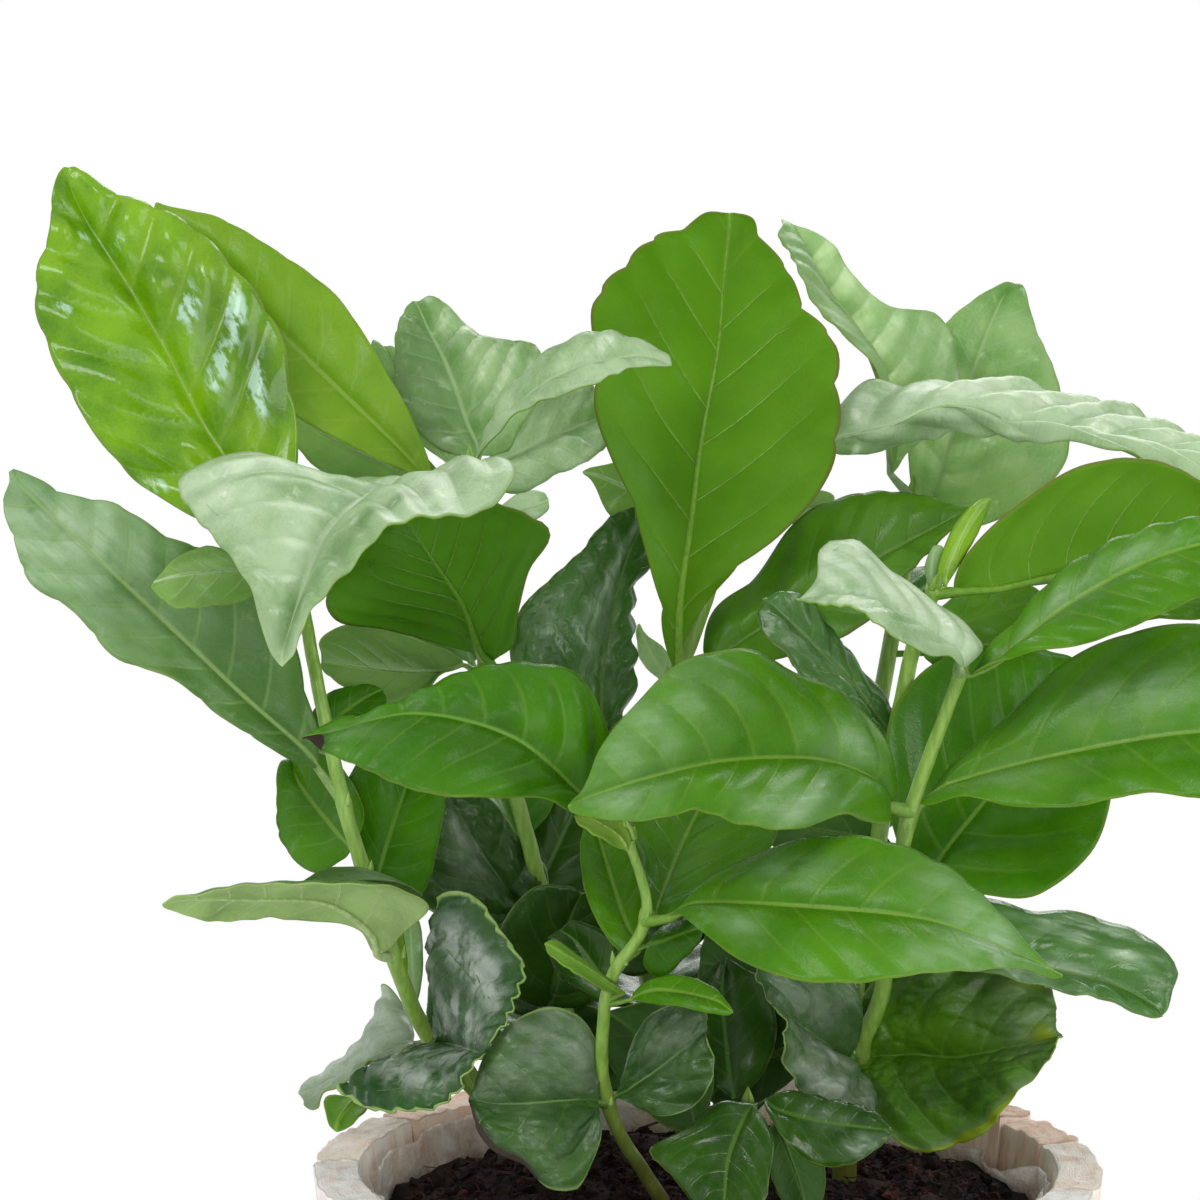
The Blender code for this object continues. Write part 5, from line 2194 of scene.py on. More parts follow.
        "right_mid_leaf_left", "right", 194, Look.BRIGHT,
        (32, -13, 197, -2, -4, 5, -11, -9, 5, -16, -13, 2, -15, -13, -1, -11, -9, -2, -3, -3, -1),
        (1, -5, 0, -1, -7, -2, -5, -8, 2, -5, -7, 2, -8, -8, -1, -9, -5, 2, -8, -3, 3, -7, -3, -1, -7, -2,
         0, -5, -2, 1, -3, -1, 1),
        (2, 1, 0, 0, 1, 4, -2, 0, 7, -6, -4, 8, -9, -5, 5, -11, -7, 6, -12, -9, -1, -8, -9, -6, -6, -8,
         -6, -3, -7, -6, -2, -3, -2),
        pairs=8, quilt=0.9,
        patches=((0.77, 0.65, 0.17, 0.57, 0.35), (0.39, -0.75, 0.11, 0.22, 0.8),
            (0.21, 0.35, 0.09, 0.27, 0.6), (0.21, 1, 0.05, 0.2, 0.5), (0.86, -0.4, 0.11, 0.47, 0.5),
            (0, 0, 0.04, 1, -0.9), (0.46, 0.6, 0.22, 0.32, -0.3)),
    ),
    Leaf(
        "right_mid_leaf_right", "right", 191, Look.BRIGHT,
        (39, -9, 196, 7, 0, 4, 21, -3, 6, 25, -7, 5, 20, -7, -2, 7, -4, -2),
        (2, 2, 1, 5, 1, 6, 9, 1, 8, 11, 1, 10, 14, -3, 7, 16, -3, 1, 13, -7, -6, 6, -6, -8, 3, -5, -6),
        (2, -2, 0, 6, -3, 2, 9, -5, -1, 11, -5, 1, 12, -2, 3, 12, -5, 0, 11, 0, 2, 9, 0, 3, 6, 0, 1),
        pairs=8, quilt=0.5,
        patches=((0.5, -0.35, 0.16, 0.29, 0.35), (0.2, 0.35, 0.12, 0.39, 0.25),
            (0.44, -0.65, 0.16, 0.26, -0.3)),
    ),
    Leaf(
        "right_mid_leaf_rear", "right", 171, Look.MID,
        (41, 2, 177, 4, 4, 7, 12, 10, 13, 10, 10, 14, 5, 4, 6),
        (-2, 2, 2, -3, 4, 7, -2, 8, 11, 3, 6, 13, 11, 5, 9, 12, 2, 1, 9, 2, -2),
        (3, -2, 1, 7, -1, -1, 11, 0, 0, 11, 6, 8, 4, 6, 13, -1, 9, 11, -3, 7, 6),
        pairs=7, quilt=0.5,
        patches=((0.56, -0.8, 0.24, 0.31, -0.6),),
    ),
    Leaf(
        "right_low_leaf", "right", 165, Look.DARK,
        (42, -3, 165, 3, 0, 1, 8, -2, -1, 11, -3, -1, 11, -3, -2, 7, -3, -3, 2, -2, -2),
        (0, 1, 1, 1, 0, 4, 3, 1, 3, 6, 1, 3, 8, -2, -2, 8, -1, 0, 8, -1, -2, 6, -4, -2, 5, -3, -5, -1, -2,
         -4, -1, -2, -3),
        (0, -1, 0, 2, -2, -1, 3, -2, 0, 5, -3, 0, 5, -2, -1, 6, -1, -1, 5, -3, -1, 5, 0, -1, 5, 0, -2, 3,
         0, -1, 2, 0, 0),
        scallop=0.3, pairs=6, quilt=0.9,
        patches=((0.57, -0.8, 0.2, 0.11, 1), (0.63, -0.55, 0.2, 0.1, 0.9), (0.5, -0.05, 0.22, 0.13, 0.8),
            (0.44, 0.7, 0.22, 0.29, 0.6), (0.75, -0.5, 0.15, 0.11, 0.8)),
    ),
    Leaf(
        "right_cotyledon_right", "right", 145, Look.OLD,
        (30, 7, 143, 2, -1, 1, 7, -2, 1, 9, -6, 1, 9, -5, 3, 6, -3, 2, 3, -1, 1),
        (0, 0, 1, -1, 0, 3, 0, 0, 5, 3, 0, 6, 6, -3, 4, 7, -3, 2, 7, -1, -1, 6, -5, -1, 6, -2, -2, 1, -2,
         -4, 0, -1, -3),
        (-1, -2, 0, 0, -2, -3, 2, -3, -4, 3, -4, -4, 6, -3, -3, 7, -2, 2, 6, -4, 4, 4, 0, 6, 4, 0, 4, 3,
         -1, 4, 1, 1, 3),
        ruffle=1.0, scallop=0.9, pairs=5, quilt=0.7,
        patches=((0.93, -0.2, 0.19, 0.67, 1.5), (0.63, 0.95, 0.22, 0.11, 1.9), (0.5, 1, 0.19, 0.08, 1.9),
            (0.36, 1, 0.17, 0.07, 1.7), (0.69, -0.5, 0.29, 0.48, -0.4), (0.5, 0.05, 0.29, 0.46, -0.3),
            (0.81, -0.9, 0.17, 0.25, 1.3)),
    ),
    Leaf(
        "right_cotyledon_left", "right", 145, Look.SEED,
        (26.6, 0.9, 144.7, -1.6, -1.8, 1.3, -3.8, -4.7, 3.7, -4.6, -5.8, 4.7, -3.7, -4.7, 3.7, -1.5, -1.8,
         1.4),
        (0.6, -2.2, -0.5, 1.7, -3.2, -2.2, 2.4, -3.1, -4, -2.5, -3.8, -2, -6.9, -3.4, 3.8, -6.3, -1.6,
         4.1, -2.6, -2.2, 6.7, 0.4, -0.3, 5, -1.4, 0.2, 3),
        (0.4, 0.2, 1, 1.1, -0.3, 3.1, 0.6, -1.5, 5.3, -1.5, -2.2, 6.2, -5.9, -1.7, 3.9, -6.8, -4.2, 1.8,
         -6, -2.3, -0.5, 0.5, -3.3, -3.5, 1.6, -2.5, -2),
        ruffle=1.0, scallop=0.6, pairs=4, quilt=0.8,
        patches=((0.5, -0.25, 0.32, 0.18, 1), (0.44, -0.7, 0.28, 0.2, 1), (0.37, -0.9, 0.21, 0.24, 0.8),
            (0.63, 0.4, 0.35, 0.49, 0.35)),
    ),
    Leaf(
        "right_top_leaf_left", "right", 221, Look.PALE,
        (46, -19, 223, -1, -2, 3, -8, -4, 6, -10, -3, 5, -9, -2, 0, -3, -1, 0),
        (-1, -3, 1, -2, -5, 2, -4, -5, 1, -5, -5, 3, -4, -3, 3, -4, 0, 3, -4, 1, 1, -4, 3, 0, -2, 3, 0),
        (1, 2, 0, 3, 2, 3, -3, 1, 4, -7, 0, 5, -7, 0, 5, -7, -3, 6, -6, -3, -1, -1, -5, -5, -3, -4, -3),
        pairs=7, quilt=0.5,
        patches=((0.77, 0.55, 0.31, 0.56, 0.8), (0.46, 0.45, 0.31, 0.64, 0.7),
            (0.16, 0.4, 0.31, 0.88, 0.6)),
    ),
    Leaf(
        "right_top_leaf_right", "right", 221, Look.BRIGHT,
        (48, -15, 221, 5, -1, 3, 12, -1, 10, 16, -1, 9, 14, -2, 4, 6, -1, 1),
        (1, 1, 1, 3, 1, 4, 5, 1, 5, 6, 0, 7, 9, 0, 6, 9, -1, 4, 8, -3, 2, 7, -1, 1, 4, -2, -2),
        (1, -2, 1, 4, -2, 2, 6, -3, 2, 9, -2, 2, 8, -1, 3, 8, -1, 4, 8, 1, 4, 5, 2, 4, 3, 1, 4),
        pairs=8, quilt=1.1,
        patches=((0.37, -0.15, 0.17, 0.32, 0.5), (0.57, -0.3, 0.17, 0.27, 0.5)),
    ),
    Leaf(
        "slim_top_leaf", "slim", 232, Look.BROAD,
        (50, 15, 233, 8, 1, 1, 19, 2, 4, 20, 2, 3, 8, 0, 2),
        (1, 6, -1, 7, 7, -1, 10, 6, 1, 11, 3, 2, 11, -2, 2, 9, -4, 2, 5, -7, 3),
        (-3, 0, 0, 2, -1, 6, 9, 2, 9, 13, 0, 8, 14, 2, 1, 12, 0, -6, 6, 2, -6),
        pairs=8, quilt=0.4,
    ),
    Leaf(
        "slim_mid_leaf", "slim", 205, Look.DARK,
        (37, 27, 201, -2, 1, 3, -6, 0, 8, -8, 1, 8, -7, 1, 7, -3, 0, 2),
        (-1, -1, 1, -3, -2, 0, -4, -1, 3, -4, -2, 4, -6, 1, 4, -3, 1, 5, -4, 1, 4, -2, 3, 4, 1, 2, 2),
        (0, 2, 1, 0, 1, 3, -2, 1, 4, -4, 2, 5, -4, 1, 5, -4, -1, 5, -3, 1, 4, -5, -2, 2, -3, -1, -1),
        pairs=7, quilt=1.1,
        patches=((0.69, -0.35, 0.26, 0.37, 0.3),),
    ),
    Leaf(
        "far_top_leaf_left", "far", 245, Look.HAZY,
        (38, 64, 250, 0, 1, 4, -1, 2, 10, -5, 2, 13, -8, 1, 11, -5, 1, 10, -3, 0, 2),
        (0, -3, 1, -1, -3, 4, -1, -3, 5, -1, -1, 6, -2, -2, 7, -6, -1, 6, -5, 3, 5, -3, 2, 6, -2, 4, 4,
         -2, 5, 3, 1, 3, 2),
        (1, 0, 1, 2, 1, 3, 5, 1, 4, 5, 1, 6, 0, 2, 9, -4, 2, 8, -10, -2, 2, -7, 2, 6, -4, 0, 6, -5, 0, 3,
         -4, 0, 1),
        pairs=8, quilt=0.6,
        patches=((0.75, 0.25, 0.18, 1.08, 1), (0.5, 0.2, 0.28, 0.52, 0.8), (0.31, 0.6, 0.28, 0.53, 0.5)),
    ),
    Leaf(
        "far_top_leaf_right", "far", 235, Look.HAZY,
        (45, 65, 239, 2, 4, 7, 6, 9, 17, 7, 9, 17, 4, 4, 6),
        (-2, 0, 2, -1, 2, 6, 0, 5, 9, 4, 4, 11, 3, 6, 10, 7, 4, 6, 6, 4, 3),
        (3, 0, 0, 7, 1, 0, 11, 2, 5, 8, 7, 9, -2, 4, 14, -4, 7, 10, -2, 3, 8),
        pairs=8, quilt=0.4,
        patches=((0.3, -0.1, 0.17, 1.11, 0.4),),
    ),
    Leaf(
        "tall_broad_leaf", "tall", 213, Look.BROAD,
        (-5, 38, 214, 0, -1, 3, 0, -2, 10, 2, -3, 15, 2, -4, 18, 3, -3, 17, 1, -4, 14, 1, -2, 10, 0, 0, 3),
        (0, 0, 1, 0, 0, 3, 2, 0, 5, 4, 0, 6, 6, -2, 6, 7, -1, 6, 7, -1, 8, 4, -1, 9, 0, -3, 11, -1, -2,
         10, -6, -1, 7, -3, -3, 7, -5, -2, 6, -2, -2, 4, -3, -1, 1),
        (-1, 0, 1, -1, 0, 3, -1, -1, 5, -1, -1, 7, -2, 0, 8, -3, -1, 9, -4, -2, 10, -3, -2, 10, 0, -1, 11,
         0, -1, 9, 6, -3, 7, 5, -3, 5, 6, -1, 2, 4, -2, 3, 3, -1, 0),
        pairs=8, quilt=0.4, scallop=1.6,
        patches=((0.38, 0.75, 0.1, 0.33, 0.35), (0.26, 0.55, 0.06, 0.32, 0.4)),
    ),
    Leaf(
        "tall_narrow_leaf", "tall", 191, Look.DARK,
        (-19, 48, 198, -1, 0, 4, 0, 0, 9, 2, 2, 12, 3, 3, 11, 4, 3, 8, 2, 1, 3),
        (-2, -2, 1, -3, -1, 1, -5, -1, 3, -6, -1, 5, -3, -1, 8, 2, 2, 9, 6, 2, 6, 6, 1, 5, 5, 4, 6, 5, 3,
         2, 3, 2, 1),
        (0, 1, 1, 2, 1, 2, 1, 0, 3, 2, 1, 5, 0, 2, 6, 0, 1, 6, 0, 0, 7, 3, 2, 5, 1, 1, 5, 0, 0, 4, 0, 0, 2),
        ruffle=1.3, scallop=0.6, pairs=8, quilt=1.5,
        patches=((0.62, -0.25, 0.28, 0.11, 0.9), (0.56, -0.65, 0.2, 0.11, 0.3)),
    ),
    Leaf(
        "tall_arching_leaf", "tall", 256, Look.PALE,
        (22, 44, 258, 3, -1, 1, 10, -1, 2, 13, -1, 5, 16, -3, -5, 17, -1, -2, 14, -1, -3, 9, 0, -2, 2, 0,
         -1),
        (1, 1, 1, 1, 2, 2, 3, 2, 4, 5, 2, 3, 8, 2, 0, 9, 0, 0, 10, 0, 1, 10, 0, -3, 10, -1, -1, 9, -3, -4,
         8, -2, -3, 8, -3, -2, 5, -3, -2, 1, -2, -1, -3, -2, 0),
        (1, 0, 0, 3, 2, -2, 5, 6, 0, 6, 4, 1, 7, -4, 2, 9, -5, 1, 8, -7, -1, 8, -10, 1, 9, -7, -2, 8, -1,
         -2, 8, 2, -3, 8, 2, -1, 6, 3, -1, 1, 3, 1, -3, 2, 0),
        ruffle=1.6, pairs=9, quilt=1.6,
        patches=((0.15, -0.75, 0.16, 0.67, 0.7), (0.31, -0.45, 0.18, 0.6, 0.7),
            (0.5, -0.65, 0.2, 0.49, 0.7), (0.7, -0.3, 0.2, 0.54, 0.8)),
    ),
    Leaf(
        "tall_side_leaf", "tall", 212, Look.SHADE,
        (2, 42, 215, 7, 1, 5, 18, 1, 11, 18, 1, 10, 8, 0, 4),
        (-2, 2, 2, 2, 3, 7, 9, 3, 7, 8, 1, 11, 12, 0, 5, 11, -2, 0, 8, -2, -2),
        (2, -2, 0, 7, -3, 1, 9, -5, 3, 11, 1, 5, 8, 1, 9, 7, 5, 6, 5, 3, 5),
        pairs=8, quilt=0.5,
    ),
    Leaf(
        "small_leaf_front", "small", 139, Look.DEEP,
        (8, -24, 142, -2, -3, -2, -3, -9, -5, -1, -10, -5, -1, -3, -2),
        (0, -2, 0, 2, -4, -2, 1, -6, -3, -1, -6, -4, -1, -5, -3, -4, -2, -3, -3, -1, 1),
        (-2, 1, 0, -5, -2, 0, -5, -3, -4, -7, -4, -3, 4, -6, -3, 4, -5, -4, 3, -5, -1),
        pairs=6, quilt=0.7,
    ),
    Leaf(
        "small_leaf_right", "small", 138, Look.DEEP,
        (10.1, -21, 142.3, 2.8, -2.7, -1.5, 8.2, -5.9, -0.6, 8.2, -5.8, 0.3, 3.3, -2.4, 0.1),
        (0.9, 0.2, 0.3, 2.7, -0.1, 0.8, 4, -2.1, 0.2, 4.6, -2.7, -0.5, 4.6, -3.7, -0.1, 3.4, -4, -0.8,
         1.8, -2.8, -1.3),
        (0.1, -2.1, -0.8, 1.4, -4.1, -2.2, 2.9, -4.6, -3.1, 4.9, -3.5, -2.5, 6, -3, 0.8, 4.3, -0.1, 2.8,
         2.5, -0.2, 2.3),
        pairs=6, quilt=1.0,
        patches=((0.5, -0.15, 0.18, 0.4, 0.2), (0.81, 0.6, 0.11, 0.35, 0.5)),
    ),
    Leaf(
        "inner_lower_leaf", "inner", 215, Look.FRESH,
        (-47, 23, 217, -4, -2, -1, -9, -6, 1, -9, -5, 2, -4, -2, 1),
        (0, 0, 1, -3, 0, 2, -5, 0, 2, -7, -1, 3, -6, -5, 1, -5, -5, -2, 0, -3, -3),
        (-1, -1, 0, -3, -3, -1, -4, -5, -4, -6, -6, -1, -5, 0, 3, -5, 0, 3, -2, 0, 2),
        pairs=6, quilt=0.5, extra=True,
    ),
    Leaf(
        "left_bud_leaf", "left", 232, Look.PALE,
        (-80, -10, 239, -5, -9, 2, -11, -9, 0, -5, -2, -1),
        (-2, -1, 1, -4, -5, 3, -6, -2, 2, -5, -7, -1, -3, -3, -3),
        (-1, -3, -1, -4, -9, -2, -6, -7, 0, -6, -2, 0, -4, 1, 3),
        pairs=5, quilt=0.6, extra=True,
        patches=((0.62, -0.35, 0.39, 0.48, 0.9),),
    ),
    Leaf(
        "inner_curl_leaf", "inner", 246, Look.PALE,
        (-40.9, 16.8, 247.4, 2.7, -2, 0.2, 5.3, 2.2, 1.2, 2.6, 2.1, 0.7),
        (1.6, -0.2, 0.9, 3.6, 1.6, 2.3, 4.1, 0.8, 0.2),
        (1.7, -2.2, -0.9, 4.8, -3, -0.5, 3.8, 5.2, 1.7),
        pairs=3, quilt=0.2, stalk=False, extra=True,
    ),
    Leaf(
        "slim_bud_leaf", "slim", 233, Look.YOUNG,
        (45.1, 14, 233.6, 1, -0.4, 4.8, 4, 0.2, 8.7, 3.4, 0.4, 3.3),
        (-1.3, 0.4, 2.7, 2.3, 0.9, 7.1, 4.5, -0.6, 6),
        (1.3, 0.3, 2.4, 3.5, 0.8, 5.6, 2.7, -0.6, 6.2),
        pairs=0, quilt=0, extra=True,
    ),
    Leaf(
        "slim_sheath_leaf", "slim", 232, Look.HAZY,
        (43.2, 14.7, 232.4, -0.8, -0.4, 2.3, 0.4, 0.6, 4.6, 1.4, 1, 1.9),
        (-1, 0.3, 1.1, -0.7, 1.3, 3.5, 1.3, -0.4, 3.6),
        (0.9, 0.3, 1, 0.9, 1.3, 3.1, -0.2, -0.4, 3.5),
        pairs=0, quilt=0, stalk=False, extra=True,
    ),
    Leaf(
        "tall_back_leaf_right", "tall", 240, Look.HAZY,
        (14.1, 50.7, 241, 2.8, 4.7, 1.2, 6.2, 8.8, 1.6, 3.2, 2.9, -1.1),
        (1.6, 3.5, 1.6, 4.7, 8.3, 3.4, 5.5, 3.8, -0.7),
        (1.9, 2.1, -0.3, 4.3, 5.1, 0.7, 4.4, 6.8, 0.6),
        pairs=4, quilt=0.3, stalk=False, extra=True,
    ),
    Leaf(
        "tall_back_leaf_left", "tall", 241, Look.PALE,
        (-8.6, 51.5, 244.8, -3.6, 3.3, 1.7, -7.6, 6.4, 2.7, -4, 3.1, 0.8),
        (-0.9, 2.7, 2.6, -4.4, 6.4, 4.8, -7.1, 2.7, -1.1),
        (-2.2, 0.9, -2, -7.3, 2.8, -0.3, -3.5, 6.5, 5.7),
        pairs=4, quilt=0.3, stalk=False, extra=True,
    ),
    Leaf(
        "tall_low_leaf", "tall", 208, Look.PALE,
        (-5.6, 49, 209.5, -2.4, 1.8, 2.3, -3.5, 3.8, 5.6, -1.2, 1.9, 3),
        (-2.1, 1.5, 0.5, -3.9, 4, 3, -1.3, 1.4, 5.2),
        (0.6, 0.6, 2.1, -2.6, 1.3, 4.4, -4, 3.9, 2.6),
        pairs=3, quilt=0.3, stalk=False, extra=True,
    ),
    Leaf(
        "inner_back_leaf", "inner", 253, Look.HAZY,
        (-48, 26, 254, -4, 7, 6, -7, 14, 11, -4, 6, 5),
        (-2, 2, 2, -5, 6, 3, -5, 8, 6, -5, 6, 6, 0, 4, 6),
        (0, 2, 2, -1, 4, 5, -3, 6, 7, -4, 8, 5, -5, 6, 3),
        pairs=6, quilt=0.3, extra=True,
    ),
    Leaf(
        "inner_back_low_leaf", "inner", 249, Look.HAZY,
        (-49, 26, 250, -5, 3, 2, -12, 9, 4, -12, 10, 5, -4, 4, 4),
        (-1, 1, 1, -2, 4, 3, -5, 5, 4, -7, 6, 3, -7, 4, 3, -6, 3, 2, -4, 2, -1),
        (-1, 0, -1, -4, 2, -2, -7, 3, 1, -8, 4, 2, -7, 6, 4, -5, 6, 5, -1, 3, 4),
        pairs=7, quilt=0.4, stalk=False, extra=True,
    ),
    Leaf(
        "far_side_leaf", "far", 214, Look.SHADE,
        (56, 58, 215, 7, -1, 3, 17, -4, 5, 17, -5, 3, 6, -3, 0),
        (1, 0, 2, 3, 1, 4, 9, 1, 3, 10, 0, 3, 9, -6, 1, 8, -4, 0, 6, -3, -1),
        (2, -1, -1, 5, -2, 1, 8, -3, 3, 9, -5, 3, 9, -1, 2, 8, 0, 0, 5, -1, 2),
        pairs=8, quilt=0.4, extra=True,
    ),
    Leaf(
        "left_side_leaf", "left", 179, Look.MID,
        (-62.1, -2.5, 180.1, 1.1, 4.7, 4.7, 3.2, 9.3, 9.4, 2, 4.7, 4.6),
        (-1.2, 1.9, 1.8, -2.9, 5.1, 5.3, -2.4, 7.1, 7.8, 4.7, 2.9, 6.7, 6.1, 1.3, -1.3),
        (1.9, 0.6, -1.8, 6.3, 2.1, -0.9, 2.6, 4.1, 8.4, 1.1, 6.2, 8.5, -3, 4.4, 5.2),
        pairs=6, quilt=0.4, stalk=False, extra=True,
    ),
    Leaf(
        "left_curl_leaf", "left", 176, Look.DARK,
        (-54, -8.4, 178.2, -5, -5.6, 3.5, -10.9, -7.8, 1.7, -5.4, -4.1, -0.1),
        (-1.3, -0.9, 1.2, -3.8, -2.6, 2.8, -5.8, -1.7, 2.1, -5.8, -5.9, 1.1, -3.6, -4.6, -1.2),
        (-1.5, -1.6, 0.4, -3.9, -4.2, 1.3, -5.4, -3.9, 1, -5.3, -4, 0.8, -3.8, -2.8, 1),
        pairs=5, quilt=0.3, stalk=False, extra=True,
    ),
    Leaf(
        "front_tip_leaf", "front", 192, Look.LIME,
        (-15.7, -37.8, 192.4, -1.6, -1.2, 2.7, -4.8, -2.5, 3.5, -2.8, -1.4, 1.1),
        (0.7, 0.3, 2.1, -2.6, 0.5, 4.3, -5.2, -4.1, 1),
        (-1.6, -1.7, 1, -3.4, -3.9, 2.7, -3.3, 0.3, 2.2),
        pairs=3, quilt=0.2, stalk=False, extra=True,
    ),
    Leaf(
        "front_low_leaf", "front", 172, Look.MID,
        (-11.7, -28.3, 173, 2.6, 3, 0.1, 5.1, 4.9, 0.9, 2.6, 2.3, 0.1),
        (1, 3.4, 0.9, 3.6, 7.5, 1.2, 4.4, -0.4, 0.1),
        (-0.8, 0.7, -3.6, 3.5, 2, -2.7, 6.2, 5.2, 4.6),
        pairs=4, quilt=0.3, extra=True,
    ),
    Leaf(
        "front_narrow_leaf_left", "front", 163, Look.BRIGHT,
        (-16.4, -31, 164.5, -3.5, -3.4, 3.1, -6.9, -5.3, 5.9, -3.5, -1.9, 2.6),
        (-1.7, -1, 2.3, -5, -2.2, 4.3, -5.2, -5.2, 4.7),
        (-2.5, -3, 1.1, -5.3, -6.4, 4.5, -4.9, -1, 3.9),
        pairs=5, quilt=0.2, extra=True,
    ),
    Leaf(
        "front_narrow_leaf_right", "front", 162, Look.BRIGHT,
        (-14.6, -31.1, 163.7, 4.6, -3.7, 2.4, 9.4, -8.1, 0.2, 4, -3.3, -1.8),
        (0.9, -0.5, 1.3, 3.3, -1.5, 2.6, 5.5, -2.4, 0.8, 4.9, -5.7, -0.8, 2.6, -3.6, -2.2),
        (1.2, -1.5, 0, 3.3, -4.1, 0.2, 4.6, -5.4, 0.7, 4.5, -2.6, -0.4, 3.3, -1.1, -0.2),
        pairs=5, quilt=0.2, extra=True,
    ),
    Leaf(
        "left_seed_curl_leaf", "left", 138, Look.BRIGHT,
        (-65.3, -5.3, 138.8, -1.7, -3, -0.1, -2.2, -4.9, -2.2, -0.5, -1.7, -1.7),
        (-1.9, -1.1, 0.5, -4.6, -2.3, 0.3, 0.8, -4.6, -3.6),
        (1.1, -2.4, -0.5, -1.5, -5.4, -1.3, -2.6, -1.5, -1.8),
        pairs=2, quilt=0.2, stalk=False, extra=True,
    ),
    Leaf(
        "left_sheath_leaf", "left", 161, Look.LIME,
        (-57, -6.7, 162.2, -1, -0.3, 3.6, -1.8, 1, 7.1, -0.4, 1.2, 3.4),
        (-1.3, 0.4, 1.7, -1.9, 1.5, 4.8, -0.5, -0.1, 5.4),
        (0.2, 0.4, 2.1, -0.8, 1.6, 5, -1.4, -0.2, 5.2),
        pairs=0, quilt=0, stalk=False, extra=True,
    ),
    Leaf(
        "left_grey_leaf", "left", 153, Look.HAZY,
        (-55.8, 4.3, 154.6, -0.1, 1.5, 4, -0.6, 3.1, 8.1, -0.4, 1.5, 4.1),
        (-1.2, 1.4, 2.1, -1.4, 3.6, 5.6, 0.3, 0.9, 6.3),
        (0.9, 0.3, 2.6, 0.7, 0.9, 6.5, -0.9, 3.6, 5.9),
        pairs=3, quilt=0.3, stalk=False, extra=True,
    ),
    Leaf(
        "left_fold_leaf", "left", 146, Look.LIME,
        (-45.1, -10.9, 147.1, 0.4, -0.7, -1.4, 1.2, -1.4, -2.6, 0.7, -0.6, -1.3),
        (-0.6, 0.1, -1, 0.2, 0.4, -2.7, 1.6, -2.3, -1.5),
        (0.8, -1, -0.5, 1.3, -2.3, -1.4, 0.5, 0.4, -2.4),
        pairs=0, quilt=0, stalk=False, extra=True,
    ),
    Leaf(
        "small_low_leaf", "small", 136, Look.DEEP,
        (12.2, -15.8, 136.8, 1.7, -0.5, -3.9, 2.8, -3.5, -7.3, 1.1, -2, -3.7),
        (-1.3, -0.9, -2.6, 0.6, -3.3, -6.4, 3.3, -1.5, -5.9),
        (2.9, 0.6, -1.9, 5.9, 0.4, -5.6, -0.2, -5.1, -6.5),
        pairs=5, quilt=0.5, stalk=False, extra=True,
    ),
    # right_dark_leaf to tall_low_dark_leaf: dark filler leaves that close the gaps low in the plant's
    # middle; their darkness is partly painted shade
    Leaf(
        "right_dark_leaf", "right", 141, Look.DEEP,
        (17.9, 9.4, 142.7, -4.9, 2.9, -0.5, -8.7, 3.9, -5.2, -3.5, 0.9, -4),
        (-2.5, 3.2, 2.5, -8.9, 6.6, -0.5, -5.4, -1.2, -7.7),
        (-1.2, 0.4, -3.1, -5.7, 1, -4.8, -7.3, 4.4, -2.8),
        pairs=5, quilt=0.5, stalk=False, extra=True,
    ),
    Leaf(
        "right_dark_leaf_upper", "right", 148, Look.DEEP,
        (17.6, 5, 152.5, -3.9, 5.7, 2.4, -9.4, 9.5, 3.2, -5.3, 3.8, 0.6),
        (-0.2, 2.3, 2, -0.6, 6.1, 5.7, -5.9, 7.5, 5.4, -9, 2.5, 1.7, -2.7, 0.5, -5.9),
        (-0.3, 0.6, -2.7, -4.2, 1.7, -4.9, -9.3, 2.9, 0.9, -6.2, 6.9, 4.6, 1, 5.1, 6.1),
        pairs=5, quilt=0.5, stalk=False, extra=True,
    ),
    Leaf(
        "inner_dark_leaf", "inner", 148, Look.DEEP,
        (-30.5, 25.9, 149.8, 1.3, -3.6, 6.5, 3, -5, 12.1, 2.3, -2.2, 5.7),
        (-2.9, -1.5, 0.4, -5.7, -3.8, 5, -0.4, -3.5, 11.2, 6.2, -0.4, 8.3, 7, -1.1, 0.7),
        (2.1, -0.6, -0.1, 5.6, -1.7, 1.2, 2.5, -0.5, 7.8, 0.2, -3.9, 9, -1.7, -2.8, 6.2),
        pairs=5, quilt=0.5, stalk=False, extra=True,
    ),
    Leaf(
        "inner_dark_low_leaf", "inner", 145, Look.DEEP,
        (-31.3, 37.9, 146.1, -3.7, 1.9, 3.2, -5.7, 4.1, 7.7, -1.6, 2.1, 4.6),
        (-3.8, 1.6, -1.5, -7.2, 4.8, 4.6, -2, 1.2, 9),
        (1.1, 0.4, 3.4, -3.1, 1.1, 7.9, -5.6, 5, 5.6),
        pairs=5, quilt=0.5, stalk=False, extra=True,
    ),
    Leaf(
        "centre_dark_leaf", "small", 133, Look.DEEP,
        (5, -3, 138, -1, 6, 5, -1, 10, 12, 1, 4, 6),
        (-2, 2, 1, -5, 5, 2, -2, 7, 7, 2, 3, 8, 4, 2, 4),
        (2, 1, 1, 4, 3, 4, 2, 4, 7, -2, 7, 7, -5, 3, 3),
        pairs=5, quilt=0.5, stalk=False, extra=True,
    ),
    Leaf(
        "centre_dark_low_leaf", "small", 129, Look.DEEP,
        (-2, -5, 133, -2, 4, 5, -9, 7, 10, -6, 4, 4),
        (1, 1, 2, 2, 4, 6, -3, 5, 7, -8, 3, 6, -6, 1, -1),
        (-2, 1, -1, -5, 4, 1, -6, 5, 5, -4, 2, 6, 0, 2, 6),
        pairs=5, quilt=0.5, stalk=False, extra=True,
    ),
    Leaf(
        "centre_back_leaf", "slim", 147, Look.DEEP,
        (19, 36.3, 148.5, -3.9, -2.2, 5.7, -8.2, -4.2, 10.6, -4.9, -0.9, 4.2),
